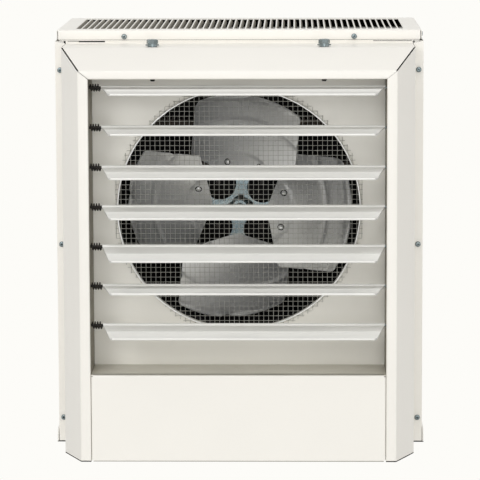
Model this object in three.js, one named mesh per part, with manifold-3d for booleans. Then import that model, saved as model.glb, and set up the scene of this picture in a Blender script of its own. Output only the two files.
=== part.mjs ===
// Ceiling mounted fan heater: a sheet-steel cabinet with a louvred front, a round air outlet behind a
// wire guard, a four-bladed fan, finned heating elements and a wiring compartment with a drop-down door.
// Millimetres. X to the right, Y to the back, Z up. The origin is the centre of the top cover's upper
// face, which hangs under the ceiling; the louvres face -Y.

import * as THREE from 'three';
import * as BufferGeometryUtils from 'three/addons/utils/BufferGeometryUtils.js';
import Module from 'manifold-3d';

const wasm = await Module();
wasm.setup();

// ---------------------------------------------------------------- driving dimensions

const SHEET = 1.2; // steel sheet of every panel
const GAP = 0.3; // clearance between neighbouring pieces
const THROUGH = 3; // how far a cutting tool runs past the face it cuts
const SINK = 0.6; // how far joined shapes run into each other

const COVER = { halfWidth: 237.5, halfDepth: 121, lip: 14 };
const SLOTS = { count: 54, pitch: 7.95, width: 6.3, halfLength: 98 };

const BODY = { halfWidth: 239.5, front: - 121.2, back: 120.7, top: - 14.5, bottom: - 545, flange: 11.5 };
const CLEAT = { inset: 6, end: 3, top: - 3 }; // upstand on each side panel that the cover fits over
const PAN = { halfWidth: 241.8, skirt: 18, skirtSheet: 1.5, back: 122.2, notch: 16, snip: [ 9, 6 ] };

const FACE = { y: - 242, openingHalf: 188.5, flatHalf: 201.6, openingTop: - 54, flatTop: - 43.4 };
const HOUSING = { halfWidth: 226, top: - 17.8, bevelBack: - 189 };
const UPSTAND = { y: - 119.5, top: - 3 };
const RECESS = { back: - 166, floor: - 432.6 };

const OUTLET = { z: - 228.6, radius: 156, collarBack: - 140, sides: 40 };
const NET = { radius: 153.5, rimRadius: 162, tuck: 3, divisions: 10, wire: 1.6, front: - 167.8 };
const RIM = { inner: 150.5, outer: 157.5, front: - 170.6, back: - 168.1, round: 0.9 };

const LOUVER = {
	count: 7, top: - 65.9, pitch: 50.87, y: - 222, left: - 173.2, right: 186.9,
	web: 24, lip: 20, fold: 9, sheet: 1.6, tube: 2.8, bead: 0.9, pin: 1.9, pinReach: 191.5,
};
const LOUVER_TILTS = [ 3.5, 3, 10, 10, 15, 1.5, 11 ]; // degrees below level, as left after the last use
const LOUVER_ENDS = [ [ 0, 8 ], [ 0, - 2 ], [ 10.2, - 41 ], [ 16, - 45 ], [ 22, - 47 ] ]; // [cut back, y]
const SPRING = { wire: 1.3, radius: 4.3, turns: 4, stepsPerTurn: 8, sides: 5 };

const FAN = { y: - 101.3, z: - 234.1, radius: 146, twist: - 33, turn: 5.4, sheet: 1.4, blades: 4 };
const BLADE = { half: 82.5, apex: 35, slope: 0.27, corner: 10, cornerAt: 122 };
const BLADE_STATIONS = [ 36.5, 40, 46, 52, 57.5, 66, 82, 100, 120, 127, 131, 135, 139, 142.5, 145.5 ];
const CAMBER = { depth: 7, from: 66, to: 120 };
const SPIDER = { reach: 68, sheet: 2.4, waist: 8.5, foot: 29, disc: 20, boss: 14, bossFrom: - 9, bossTo: 16 };
const SHAFT = { radius: 5.7, front: - 114.3, back: - 46.3 };
const MOTOR = { radius: 55, front: - 68.3, back: 7.7, bell: 10, nose: 14, round: 3, sides: 24 };
const BRIDGE = { y: 16.1, sheet: 3, halfHeight: 32, lip: 20 };

const ELEMENT = { count: 3, top: - 112, pitch: 116, half: 29, y: 62, sides: 6 };
const TUBE = { sheath: 5.5, fin: 12.5, fins: 5, bare: 14, tail: 22, bend: 24, bendSteps: 6 };
const RACK = { x: 205, front: 38, back: 88, top: - 58, bottom: - 400, hole: 6.6 };
const CUTOUT = { flange: 12, flangeHeight: 2, radius: 8.5, height: 11 };

const DOOR = { halfWidth: 188, top: - 432.6, lip: 13, lipDrop: 2.6 };
const DOOR_HINGE = { y: - 236, z: - 539, pin: 1.8, pinReach: 191.5 };
const CONTACTOR = { x: [ - 150, - 92 ], z: [ - 528, - 450 ], base: 8, core: 46, cap: 56, inset: 3 };
const TERMINALS = {
	x: [ - 48, 52 ], z: [ - 506, - 472 ], base: 12, height: 22, ways: 5, barrier: 3, inset: 2,
};
const THERMOSTAT = { halfWidth: 26, halfDepth: 21, height: 34, step: 6, inset: 7, well: 18 };
const KNOB = { x: 146, y: - 62, radius: 17, height: 15, spindle: 3, stem: 16, rib: 2, ribHeight: 2.5 };
const GLAND = { x: - 178, y: 60, bore: 9, collar: 14, flange: 19, nut: 7, below: 14, above: 10 };

const HOLE_SIDES = 6;
const SCREW = { head: 3.6, height: 2.4, shank: 1.7, reach: 9, hole: 2.2 };
const FLANGE_SCREWS = { x: 233.3, z: [ - 52, - 281, - 512 ] };
const COVER_SCREWS = { x: 149.3, z: - 8.6, sideY: - 74 };
const BOLT = { x: 110, y: - 176, headTop: - 8, headHeight: 5.6, across: 13, shank: 3.5, tip: - 62, hole: 4 };

// ---------------------------------------------------------------- finishes

const finish = ( color, roughness, metalness ) =>
	() => new THREE.MeshStandardMaterial( { color, roughness, metalness } );
const ALMOND = finish( 0xf1ede3, 0.45, 0.1 );
const ALMOND_INSIDE = finish( 0xd9d3c6, 0.5, 0.1 );
const GALVANISED = finish( 0xb9bcb8, 0.45, 0.8 );
const ALUMINIUM = finish( 0xd4d6d2, 0.3, 0.9 );
const ZINC = finish( 0xa9b4b4, 0.35, 0.85 );
const BLACK_STEEL = finish( 0x16150f, 0.45, 0.6 );
const DARK_ENAMEL = finish( 0x2b2c2e, 0.5, 0.3 );
const SHEATH = finish( 0x7d7a74, 0.5, 0.7 );
const BLACK_PLASTIC = finish( 0x1c1c1d, 0.55, 0 );
const PALE_PLASTIC = finish( 0xd8d2c2, 0.55, 0 );

// ---------------------------------------------------------------- shape helpers

const heater = new THREE.Group();

function add( name, geometry, material, place = [ 0, 0, 0 ], turn = [ 0, 0, 0 ] ) {

	const mesh = new THREE.Mesh( geometry, material() );
	mesh.name = name;
	mesh.position.set( ...place );
	mesh.rotation.set( ...turn );
	heater.add( mesh );

}

// A closed geometry as a solid that can be joined and cut, and back again.
function solid( geometry ) {

	const bare = geometry.index ? geometry.toNonIndexed() : geometry.clone();
	bare.deleteAttribute( 'normal' );
	bare.deleteAttribute( 'uv' );
	const merged = BufferGeometryUtils.mergeVertices( bare, 1e-4 );
	return new wasm.Manifold( new wasm.Mesh( {
		numProp: 3,
		vertProperties: new Float32Array( merged.attributes.position.array ),
		triVerts: new Uint32Array( merged.index.array ),
	} ) );

}

function shapeOf( body ) {

	const mesh = body.getMesh();
	const geometry = new THREE.BufferGeometry();
	geometry.setAttribute( 'position', new THREE.BufferAttribute( new Float32Array( mesh.vertProperties ), 3 ) );
	geometry.setIndex( new THREE.BufferAttribute( new Uint32Array( mesh.triVerts ), 1 ) );
	const loose = geometry.toNonIndexed();
	loose.computeVertexNormals();
	return loose;

}

function join( ...geometries ) {

	return shapeOf( geometries.map( solid ).reduce( ( a, b ) => a.add( b ) ) );

}

function cut( geometry, ...tools ) {

	return shapeOf( tools.map( solid ).reduce( ( a, b ) => a.subtract( b ), solid( geometry ) ) );

}

const keep = ( geometry, region ) => shapeOf( solid( geometry ).intersect( solid( region ) ) );
const otherHand = ( geometry ) => shapeOf( solid( geometry ).mirror( [ 1, 0, 0 ] ) );

const times = ( count, make ) => Array.from( { length: count }, ( _, i ) => make( i ) );
const around = ( centre, half ) => [ centre - half, centre + half ];
const mirrored = ( points ) => points.map( ( [ x, y ] ) => [ - x, y ] ).reverse();
const degrees = ( angle ) => THREE.MathUtils.degToRad( angle );

function block( [ x0, x1 ], [ y0, y1 ], [ z0, z1 ] ) {

	const geometry = new THREE.BoxGeometry( x1 - x0, y1 - y0, z1 - z0 );
	return geometry.translate( ( x0 + x1 ) / 2, ( y0 + y1 ) / 2, ( z0 + z1 ) / 2 );

}

// An outline pushed along one axis. The outline is in the other two axes: (x, y) for Z, (y, z) for X and
// (x, z) for Y.
function push( outline, axis, from, to ) {

	const shape = new THREE.Shape( outline.map( ( p ) => new THREE.Vector2( ...p ) ) );
	const geometry = new THREE.ExtrudeGeometry( shape, { depth: to - from, bevelEnabled: false } );
	geometry.translate( 0, 0, from );
	if ( axis === 'x' ) {

		geometry.applyMatrix4( new THREE.Matrix4().set( 0, 0, 1, 0, 1, 0, 0, 0, 0, 1, 0, 0, 0, 0, 0, 1 ) );

	}

	if ( axis === 'y' ) {

		geometry.translate( 0, 0, - from - to );
		geometry.applyMatrix4( new THREE.Matrix4().set( 1, 0, 0, 0, 0, 0, - 1, 0, 0, 1, 0, 0, 0, 0, 0, 1 ) );

	}

	return geometry;

}

// A turned piece along an axis. The profile is [radius, distance along the axis].
function turned( profile, axis, [ x, y, z ], sides ) {

	const geometry = new THREE.LatheGeometry( profile.map( ( p ) => new THREE.Vector2( ...p ) ), sides );
	if ( axis === 'x' ) geometry.rotateZ( - Math.PI / 2 );
	if ( axis === 'y' ) geometry.rotateX( Math.PI ).scale( 1, - 1, - 1 );
	if ( axis === 'z' ) geometry.rotateX( Math.PI / 2 );
	return geometry.translate( x, y, z );

}

function bar( radius, axis, centre, [ from, to ], sides = 12 ) {

	return turned( [ [ 0, from ], [ radius, from ], [ radius, to ], [ 0, to ] ], axis, centre, sides );

}

const hole = ( radius, axis, centre, sides = HOLE_SIDES ) =>
	bar( radius, axis, centre, around( 0, THROUGH ), sides );

// The outline of a bent sheet: a path and the same path moved sideways by the sheet's thickness.
function bentSheet( path, side, sheet = SHEET ) {

	const points = path.map( ( p ) => new THREE.Vector2( ...p ) );
	const normals = points.slice( 1 ).map( ( p, i ) => {

		const d = p.clone().sub( points[ i ] ).normalize();
		return new THREE.Vector2( - d.y, d.x ).multiplyScalar( side );

	} );
	const inner = points.map( ( p, i ) => {

		const before = normals[ Math.max( i - 1, 0 ) ];
		const after = normals[ Math.min( i, normals.length - 1 ) ];
		const middle = before.clone().add( after ).normalize();
		return p.clone().addScaledVector( middle, sheet / middle.dot( after ) );

	} );
	return [ ...points, ...inner.reverse() ].map( ( p ) => [ p.x, p.y ] );

}

// ---------------------------------------------------------------- cabinet

function topCover() {

	const { halfWidth, halfDepth, lip } = COVER;
	const { count, pitch, width, halfLength } = SLOTS;
	const shell = block( around( 0, halfWidth ), around( 0, halfDepth ), [ - lip, 0 ] );
	const hollow = block(
		around( 0, halfWidth - SHEET ), around( 0, halfDepth - SHEET ), [ - lip - THROUGH, - SHEET ] );
	const slots = times( count, ( i ) => {

		const x = ( i - ( count - 1 ) / 2 ) * pitch;
		return block( around( x, width / 2 ), around( 0, halfLength ), around( 0, THROUGH ) );

	} );
	const holes = [ - 1, 1 ].flatMap( ( side ) => [
		hole( SCREW.hole, 'y', [ side * COVER_SCREWS.x, - halfDepth, COVER_SCREWS.z ] ),
		hole( SCREW.hole, 'x', [ side * halfWidth, COVER_SCREWS.sideY, COVER_SCREWS.z ] ),
	] );
	return cut( shell, hollow, BufferGeometryUtils.mergeGeometries( slots ), ...holes );

}

function sidePanel( side ) {

	const { halfWidth, back, top, bottom, flange } = BODY;
	const front = BODY.front + SHEET + GAP;
	const inner = halfWidth - CLEAT.inset;
	const depth = [ front + CLEAT.end, back - CLEAT.end ];
	const outline = bentSheet( [
		[ halfWidth - flange, front ], [ halfWidth, front ], [ halfWidth, back ], [ halfWidth - flange, back ],
	], 1 );
	const wall = push( outline, 'z', bottom + SHEET + GAP, top );
	const shelf = block( [ inner, halfWidth - SINK ], depth, [ top - SHEET, top ] );
	const rib = block( [ inner, inner + SHEET ], depth, [ top - SHEET, CLEAT.top ] );
	const holes = FLANGE_SCREWS.z.map( ( z ) => hole( SCREW.hole, 'y', [ FLANGE_SCREWS.x, front, z ] ) );
	const coverHole = hole( SCREW.hole, 'x', [ inner, COVER_SCREWS.sideY, COVER_SCREWS.z ] );
	const panel = cut( join( wall, shelf, rib ), ...holes, coverHole );
	return side > 0 ? panel : otherHand( panel );

}

const rearPanel = () => block(
	around( 0, BODY.halfWidth - GAP ), [ BODY.back + GAP, PAN.back ], [ BODY.bottom + SHEET + GAP, BODY.top ] );

function bottomPan() {

	const { halfWidth, skirt, skirtSheet, back, snip } = PAN;
	const { bottom } = BODY;
	const edge = BODY.front - GAP;
	const notch = FACE.y + PAN.notch;
	const right = [
		[ FACE.openingHalf, notch ], [ FACE.openingHalf, FACE.y ], [ FACE.flatHalf, FACE.y ],
		[ HOUSING.halfWidth, HOUSING.bevelBack ], [ HOUSING.halfWidth, edge ],
		[ halfWidth, edge ], [ halfWidth, back ],
	];
	const plate = push( [ ...right, ...mirrored( right ) ], 'z', bottom, bottom + SHEET );
	const outline = [
		[ edge, bottom ], [ back, bottom ], [ back, bottom + skirt ],
		[ edge + snip[ 0 ], bottom + skirt ], [ edge, bottom + skirt - snip[ 1 ] ],
	];
	const skirts = [ - halfWidth, halfWidth - skirtSheet ].map( ( x ) =>
		push( outline, 'x', x, x + skirtSheet ) );
	const knobHole = hole( KNOB.spindle + 0.5, 'z', [ KNOB.x, KNOB.y, bottom ], 12 );
	const inlet = hole( GLAND.collar + GAP, 'z', [ GLAND.x, GLAND.y, bottom ], 16 );
	return cut( join( plate, ...skirts ), knobHole, inlet );

}

// ---------------------------------------------------------------- front housing

// The left and right pieces stand outside this mitre line and the top piece lies above it.
const MITRE = [
	[ FACE.openingHalf, FACE.openingTop ], [ FACE.flatHalf, FACE.flatTop ], [ HOUSING.halfWidth, HOUSING.top ],
];
const MITRE_ROOM = 30;

function frameSide( side ) {

	const { halfWidth, top, bevelBack } = HOUSING;
	const { openingHalf, openingTop, flatHalf, y } = FACE;
	const path = [
		[ - BODY.halfWidth, BODY.front ], [ - halfWidth, BODY.front ], [ - halfWidth, bevelBack ],
		[ - flatHalf, y ], [ - openingHalf, y ], [ - openingHalf, RECESS.back - GAP ],
	];
	const profile = push( bentSheet( path, 1 ), 'z', BODY.bottom + SHEET + GAP, BODY.top - GAP );
	const region = push( mirrored( [
		...MITRE, [ halfWidth + MITRE_ROOM, top + MITRE_ROOM ], [ halfWidth + MITRE_ROOM, BODY.bottom - THROUGH ],
		[ openingHalf - THROUGH, BODY.bottom - THROUGH ], [ openingHalf - THROUGH, openingTop ],
	] ), 'y', y - THROUGH, BODY.front + THROUGH );
	const louverHoles = times( LOUVER.count, ( i ) =>
		hole( LOUVER.pin + 0.5, 'x', [ - openingHalf, LOUVER.y, LOUVER.top - i * LOUVER.pitch ], 8 ) );
	const doorHole = hole( DOOR_HINGE.pin + 0.5, 'x', [ - openingHalf, DOOR_HINGE.y, DOOR_HINGE.z ], 8 );
	const screwHoles = FLANGE_SCREWS.z.map( ( z ) =>
		hole( SCREW.hole, 'y', [ - FLANGE_SCREWS.x, BODY.front, z ] ) );
	const frame = cut( keep( profile, region ), ...louverHoles, doorHole, ...screwHoles );
	return side < 0 ? frame : otherHand( frame );

}

function frameTop() {

	const { openingHalf, openingTop, flatTop, y } = FACE;
	const half = HOUSING.halfWidth - GAP;
	const path = [
		[ RECESS.back - GAP, openingTop ], [ y, openingTop ], [ y, flatTop ],
		[ HOUSING.bevelBack, HOUSING.top ], [ UPSTAND.y, HOUSING.top ], [ UPSTAND.y, UPSTAND.top ],
	];
	const profile = push( bentSheet( path, - 1 ), 'x', - half, half );
	const right = [
		[ openingHalf - THROUGH, openingTop - THROUGH ], ...MITRE.map( ( [ x, z ] ) => [ x - GAP, z + GAP ] ),
		[ half, THROUGH ],
	];
	const region = push( [ ...mirrored( right ), ...right ], 'y', y - THROUGH, UPSTAND.y + THROUGH );
	const holes = [ - 1, 1 ].flatMap( ( side ) => [
		hole( BOLT.hole, 'z', [ side * BOLT.x, BOLT.y, openingTop ], 8 ),
		hole( BOLT.hole, 'z', [ side * BOLT.x, BOLT.y, HOUSING.top ], 8 ),
		hole( SCREW.hole, 'y', [ side * COVER_SCREWS.x, UPSTAND.y, COVER_SCREWS.z ] ),
	] );
	return cut( keep( profile, region ), ...holes );

}

function orificePanel() {

	const half = HOUSING.halfWidth - SHEET - GAP;
	const { radius, sides, collarBack, z } = OUTLET;
	const { back } = RECESS;
	const plate = block(
		around( 0, half ), [ back, back + SHEET ], [ BODY.bottom + SHEET + 2 * GAP, HOUSING.top - SHEET - GAP ] );
	const opening = bar( radius, 'y', [ 0, 0, z ], [ back - THROUGH, collarBack + THROUGH ], sides );
	const collar = bar( radius + SHEET, 'y', [ 0, 0, z ], [ back + SINK, collarBack ], sides );
	return cut( join( plate, collar ), opening );

}

const recessFloor = () => block(
	around( 0, FACE.openingHalf - GAP ), [ FACE.y + SHEET + GAP, RECESS.back - GAP ],
	[ RECESS.floor - SHEET, RECESS.floor ] );

// The door is made about its hinge line, which lies along its lower edge.
function accessDoor() {

	const { halfWidth, lip, lipDrop } = DOOR;
	const { pin, pinReach } = DOOR_HINGE;
	const front = FACE.y - DOOR_HINGE.y;
	const top = DOOR.top - DOOR_HINGE.z;
	const bottom = BODY.bottom - DOOR_HINGE.z;
	const depth = [ front + SINK, front + lip ];
	const face = block( around( 0, halfWidth ), [ front, front + SHEET ], [ bottom, top ] );
	const topLip = block( around( 0, halfWidth ), depth, [ top - lipDrop - SHEET, top - lipDrop ] );
	const bottomLip = block( around( 0, halfWidth ), depth, [ bottom, bottom + SHEET ] );
	const sides = [ - halfWidth, halfWidth - SHEET ].map( ( x ) =>
		block( [ x, x + SHEET ], depth, [ bottom + SINK, top - lipDrop - SINK ] ) );
	const pins = [ [ - pinReach, SINK - halfWidth ], [ halfWidth - SINK, pinReach ] ].map( ( reach ) =>
		bar( pin, 'x', [ 0, 0, 0 ], reach, 8 ) );
	return join( face, topLip, bottomLip, ...sides, ...pins );

}

// ---------------------------------------------------------------- louvres and their springs

// A louvre is made about its pivot line and points to the front: a rolled tube, a web, and a lip that
// is folded down and ends in a bead. Its ends are cut back at a slant so that it clears the frame.
function louver() {

	const { web, lip, fold, sheet, tube, bead, left, right, pin, pinReach } = LOUVER;
	const half = sheet / 2;
	const onLip = ( distance, offset ) => {

		const p = new THREE.Vector2( - distance, offset ).rotateAround( new THREE.Vector2(), degrees( fold ) );
		return [ p.x - web, p.y ];

	};
	const roll = times( 9, ( i ) => {

		const angle = degrees( 160 - i * 40 );
		return [ tube * Math.cos( angle ), tube * Math.sin( angle ) ];

	} );
	const outline = [
		...roll, [ - web, - half ], onLip( lip - 2 * bead, - half ), onLip( lip - bead, - half - bead / 2 ),
		onLip( lip, 0 ), onLip( lip - bead, half + bead ), onLip( lip - 2.5 * bead, half + bead / 2 ),
		onLip( bead, half + bead / 2 ), [ - web, half ],
	];
	const ends = [
		...LOUVER_ENDS.map( ( [ back, y ] ) => [ left + back, y ] ),
		...LOUVER_ENDS.map( ( [ back, y ] ) => [ right - back, y ] ).reverse(),
	];
	const blade = keep( push( outline, 'x', left, right ), push( ends, 'z', - web, web ) );
	const pins = [ [ - pinReach, left + 1 ], [ right - 1, pinReach ] ].map( ( reach ) =>
		bar( pin, 'x', [ 0, 0, 0 ], reach, 8 ) );
	return join( blade, ...pins );

}

// One unbroken wire wound round the louvre's left pin. The wire's ends turn along the axis and run
// straight for one wire diameter, square to the wall and to the louvre's end.
function springCurve() {

	const { wire, radius, turns, stepsPerTurn } = SPRING;
	const from = - FACE.openingHalf + GAP;
	const to = LOUVER.left - GAP;
	const lead = wire * 1.5;
	const steps = turns * stepsPerTurn;
	const coil = times( steps - 1, ( i ) => {

		const done = ( i + 1 ) / steps;
		const angle = done * turns * 2 * Math.PI;
		const x = from + lead + ( to - from - 2 * lead ) * done;
		return new THREE.Vector3( x, radius * Math.cos( angle ), radius * Math.sin( angle ) );

	} );
	const straight = ( x ) => new THREE.Vector3( x, radius, 0 );
	return [ straight( from ), straight( from + wire ), ...coil, straight( to - wire ), straight( to ) ];

}

// A tube of flat-sided section through the points, its ends closed.
function wireAlong( points, radius, sides ) {

	const positions = [];
	const rings = points.map( ( point, i ) => {

		const next = points[ Math.min( i + 1, points.length - 1 ) ];
		const before = points[ Math.max( i - 1, 0 ) ];
		const tangent = next.clone().sub( before ).normalize();
		if ( i === 0 || i === points.length - 1 ) tangent.set( 1, 0, 0 );
		const outward = new THREE.Vector3( 0, point.y, point.z ).normalize();
		const side = new THREE.Vector3().crossVectors( tangent, outward ).normalize();
		const up = new THREE.Vector3().crossVectors( side, tangent );
		return times( sides, ( k ) => {

			const angle = ( k / sides ) * 2 * Math.PI;
			const corner = point.clone().addScaledVector( up, radius * Math.cos( angle ) );
			return corner.addScaledVector( side, radius * Math.sin( angle ) );

		} );

	} );
	const face = ( ...corners ) => corners.forEach( ( c ) => positions.push( c.x, c.y, c.z ) );
	for ( let i = 0; i + 1 < rings.length; i ++ ) {

		for ( let k = 0; k < sides; k ++ ) {

			const n = ( k + 1 ) % sides;
			face( rings[ i ][ k ], rings[ i ][ n ], rings[ i + 1 ][ n ] );
			face( rings[ i ][ k ], rings[ i + 1 ][ n ], rings[ i + 1 ][ k ] );

		}

	}

	const first = rings[ 0 ];
	const last = rings[ rings.length - 1 ];
	for ( let k = 1; k + 1 < sides; k ++ ) {

		face( first[ 0 ], first[ k + 1 ], first[ k ] );
		face( last[ 0 ], last[ k ], last[ k + 1 ] );

	}

	const geometry = new THREE.BufferGeometry();
	geometry.setAttribute( 'position', new THREE.Float32BufferAttribute( positions, 3 ) );
	geometry.computeVertexNormals();
	return geometry;

}

// The smallest clear distance between two passes of the wire, found on points along its middle line.
function leastGap( points, diameter, apart ) {

	const parts = 6;
	const fine = points.slice( 1 ).flatMap( ( p, i ) =>
		times( parts, ( k ) => points[ i ].clone().lerp( p, k / parts ) ) );
	let least = Infinity;
	for ( let i = 0; i < fine.length; i ++ ) {

		for ( let j = i + apart * parts; j < fine.length; j ++ ) {

			least = Math.min( least, fine[ i ].distanceTo( fine[ j ] ) );

		}

	}

	return least - diameter;

}

// ---------------------------------------------------------------- outlet guard

// A flat net of square gaps inside a plain ring, cut from crossing strips.
function meshGuard() {

	const { radius, rimRadius, tuck, divisions, wire, front } = NET;
	const depth = [ front, RECESS.back - GAP ];
	const strips = times( divisions - 1, ( i ) => {

		const at = ( i + 1 ) * 2 * radius / divisions - radius;
		const reach = Math.sqrt( ( rimRadius - tuck ) ** 2 - at ** 2 );
		return [
			block( around( at, wire / 2 ), depth, around( 0, reach ) ),
			block( around( 0, reach ), depth, around( at, wire / 2 ) ),
		];

	} ).flat();
	const ring = turned( [
		[ radius, depth[ 0 ] ], [ rimRadius, depth[ 0 ] ], [ rimRadius, depth[ 1 ] ], [ radius, depth[ 1 ] ],
		[ radius, depth[ 0 ] ],
	], 'y', [ 0, 0, 0 ], OUTLET.sides );
	return join( ring, ...strips ).translate( 0, 0, OUTLET.z );

}

const guardRim = () => turned( [
	[ RIM.inner, RIM.back ], [ RIM.inner, RIM.front + RIM.round ], [ RIM.inner + RIM.round, RIM.front ],
	[ RIM.outer, RIM.front ], [ RIM.outer, RIM.back ], [ RIM.inner, RIM.back ],
], 'y', [ 0, 0, OUTLET.z ], OUTLET.sides );

// ---------------------------------------------------------------- fan and motor

// A thin plate that reaches outwards along +Z from the shaft and is twisted about that line. At each
// station the half width, the twist and the camber are given; the plate is moved off its middle by an offset.
function twistedPlate( { stations, across, halfWidth, twist, camber, offset, sheet } ) {

	const steps = stations.length - 1;
	const point = ( i, k, level ) => {

		const r = stations[ i ];
		const along = 2 * k / across - 1;
		const s = along * halfWidth( r );
		const angle = degrees( twist( r ) );
		const lift = offset + level + camber( r ) * ( 1 - along ** 2 );
		const flat = new THREE.Vector2( s, lift ).rotateAround( new THREE.Vector2(), angle );
		return [ flat.x, flat.y, r ];

	};

	const positions = [];
	const quad = ( a, b, c, d ) => [ a, b, c, a, c, d ].forEach( ( p ) => positions.push( ...p ) );
	const side = ( corners ) => quad( ...corners.map( ( corner ) => point( ...corner ) ) );
	for ( let i = 0; i < steps; i ++ ) {

		for ( let k = 0; k < across; k ++ ) {

			side( [ [ i, k, 0 ], [ i, k + 1, 0 ], [ i + 1, k + 1, 0 ], [ i + 1, k, 0 ] ] );
			side( [ [ i, k, sheet ], [ i + 1, k, sheet ], [ i + 1, k + 1, sheet ], [ i, k + 1, sheet ] ] );

		}

		side( [ [ i, 0, 0 ], [ i + 1, 0, 0 ], [ i + 1, 0, sheet ], [ i, 0, sheet ] ] );
		side( [ [ i, across, 0 ], [ i, across, sheet ], [ i + 1, across, sheet ], [ i + 1, across, 0 ] ] );

	}

	for ( let k = 0; k < across; k ++ ) {

		side( [ [ 0, k, 0 ], [ 0, k, sheet ], [ 0, k + 1, sheet ], [ 0, k + 1, 0 ] ] );
		side( [ [ steps, k, 0 ], [ steps, k + 1, 0 ], [ steps, k + 1, sheet ], [ steps, k, sheet ] ] );

	}

	const geometry = new THREE.BufferGeometry();
	geometry.setAttribute( 'position', new THREE.Float32BufferAttribute( positions, 3 ) );
	geometry.computeVertexNormals();
	return geometry;

}

const ramp = ( r, from, to ) => THREE.MathUtils.smoothstep( r, from, to );

// A broad blade: its root is a shallow V, its sides are straight and its tip follows the outlet.
function fanBlade() {

	const { half, apex, slope, corner, cornerAt } = BLADE;
	const halfWidth = ( r ) => {

		const past = THREE.MathUtils.clamp( ( r - cornerAt ) / corner, 0, 1 );
		const side = half - corner * ( 1 - Math.sqrt( 1 - past ** 2 ) );
		const tip = Math.sqrt( FAN.radius ** 2 - r ** 2 ) / Math.cos( degrees( FAN.twist ) );
		return Math.min( ( r - apex ) / slope, side, tip );

	};

	return twistedPlate( {
		stations: BLADE_STATIONS, across: 6, halfWidth, twist: () => FAN.twist,
		camber: ( r ) => CAMBER.depth * ramp( r, CAMBER.from, CAMBER.to ),
		offset: - FAN.sheet - GAP, sheet: FAN.sheet,
	} );

}

// Four arms that twist to meet the blades, on a disc with a boss bored for the shaft.
function fanHub() {

	const { reach, sheet, waist, foot, disc, boss, bossFrom, bossTo } = SPIDER;
	const halfWidth = ( r ) => waist + ( foot - waist ) * ramp( r, disc, reach - 6 );
	const arms = times( FAN.blades, ( i ) => twistedPlate( {
		stations: [ 6, 16, 24, 34, 44, 56, reach ], across: 2, halfWidth,
		twist: ( r ) => FAN.twist * ramp( r, 12, 34 ),
		camber: () => 0, offset: GAP, sheet,
	} ).rotateY( i * Math.PI / 2 ) );
	const plate = bar( disc, 'y', [ 0, 0, 0 ], [ GAP, GAP + sheet ], 20 );
	const barrel = bar( boss, 'y', [ 0, 0, 0 ], [ bossFrom, bossTo ], 16 );
	const bore = bar( SHAFT.radius + GAP, 'y', [ 0, 0, 0 ], [ bossFrom - THROUGH, bossTo + THROUGH ] );
	return cut( join( ...arms, plate, barrel ), bore );

}

const motorShaft = () => bar( SHAFT.radius, 'y', [ 0, 0, FAN.z ], [ SHAFT.front, SHAFT.back ] );

function motorHousing() {

	const { radius, front, back, round, sides } = MOTOR;
	const shell = turned( [
		[ 0, front ], [ radius - round, front ], [ radius, front + round ], [ radius, back - round ],
		[ radius - round, back ], [ 0, back ],
	], 'y', [ 0, 0, FAN.z ], sides );
	const bore = [ front - THROUGH, SHAFT.back + THROUGH ];
	return cut( shell, bar( SHAFT.radius + 2 * GAP, 'y', [ 0, 0, FAN.z ], bore ) );

}

function motorFrontBell() {

	const { radius, front, bell, nose, round, sides } = MOTOR;
	const bore = SHAFT.radius + 2 * GAP;
	return turned( [
		[ bore, front - GAP ], [ bore, front - nose ], [ nose - 2, front - nose ], [ nose + 1, front - bell ],
		[ radius - bell, front - 6 ], [ radius - round, front - GAP ], [ bore, front - GAP ],
	], 'y', [ 0, 0, FAN.z ], sides );

}

function motorRearBell() {

	const { radius, back, round, bell, sides } = MOTOR;
	const seat = BRIDGE.y - GAP;
	return turned( [
		[ 0, back + GAP ], [ radius - round, back + GAP ], [ radius - bell, back + 5 ], [ 22, seat ], [ 0, seat ],
	], 'y', [ 0, 0, FAN.z ], sides );

}

function motorBridge() {

	const end = BODY.halfWidth - SHEET - GAP;
	const { y, sheet, halfHeight, lip } = BRIDGE;
	const path = [ [ - end, y + lip ], [ - end, y ], [ end, y ], [ end, y + lip ] ];
	return push( bentSheet( path, 1, sheet ), 'z', ...around( FAN.z, halfHeight ) );

}

// ---------------------------------------------------------------- heating elements

// Two finned legs joined by a bend at the right; the bare ends pass through the racks.
function heatingElement() {

	const { half, sides } = ELEMENT;
	const { sheath, fin, fins, bare, tail, bend, bendSteps } = TUBE;
	const end = RACK.x;
	const finned = end - bare;
	const spacing = 2 * finned / fins;
	const profile = [ [ 0, - end - tail ], [ sheath, - end - tail ], [ sheath, - finned ] ];
	for ( let i = 0; i < fins; i ++ ) {

		const at = i * spacing - finned;
		profile.push(
			[ fin, at + 1 ], [ fin, at + spacing * 0.55 ],
			[ sheath, at + spacing * 0.6 ], [ sheath, at + spacing - 1 ] );

	}

	profile.push( [ sheath, end + 6 ], [ 0, end + 6 ] );
	const legs = [ - half, half ].map( ( z ) => turned( profile, 'x', [ 0, 0, z ], sides ) );
	const corners = [ [ 5, half ], [ 20, half ], [ bend, half - 8 ], [ bend, 0 ] ];
	const quarter = ( side ) => corners.map( ( [ x, z ] ) =>
		new THREE.Vector3( end + x, 0, side * z ) );
	const path = new THREE.CurvePath();
	path.add( new THREE.CubicBezierCurve3( ...quarter( - 1 ) ) );
	path.add( new THREE.CubicBezierCurve3( ...quarter( 1 ).reverse() ) );
	const section = new THREE.Shape( times( sides, ( i ) => {

		const angle = i * 2 * Math.PI / sides;
		return new THREE.Vector2( Math.cos( angle ), Math.sin( angle ) ).multiplyScalar( sheath * 0.96 );

	} ) );
	return join( ...legs, new THREE.ExtrudeGeometry( section, { steps: bendSteps, extrudePath: path } ) );

}

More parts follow.
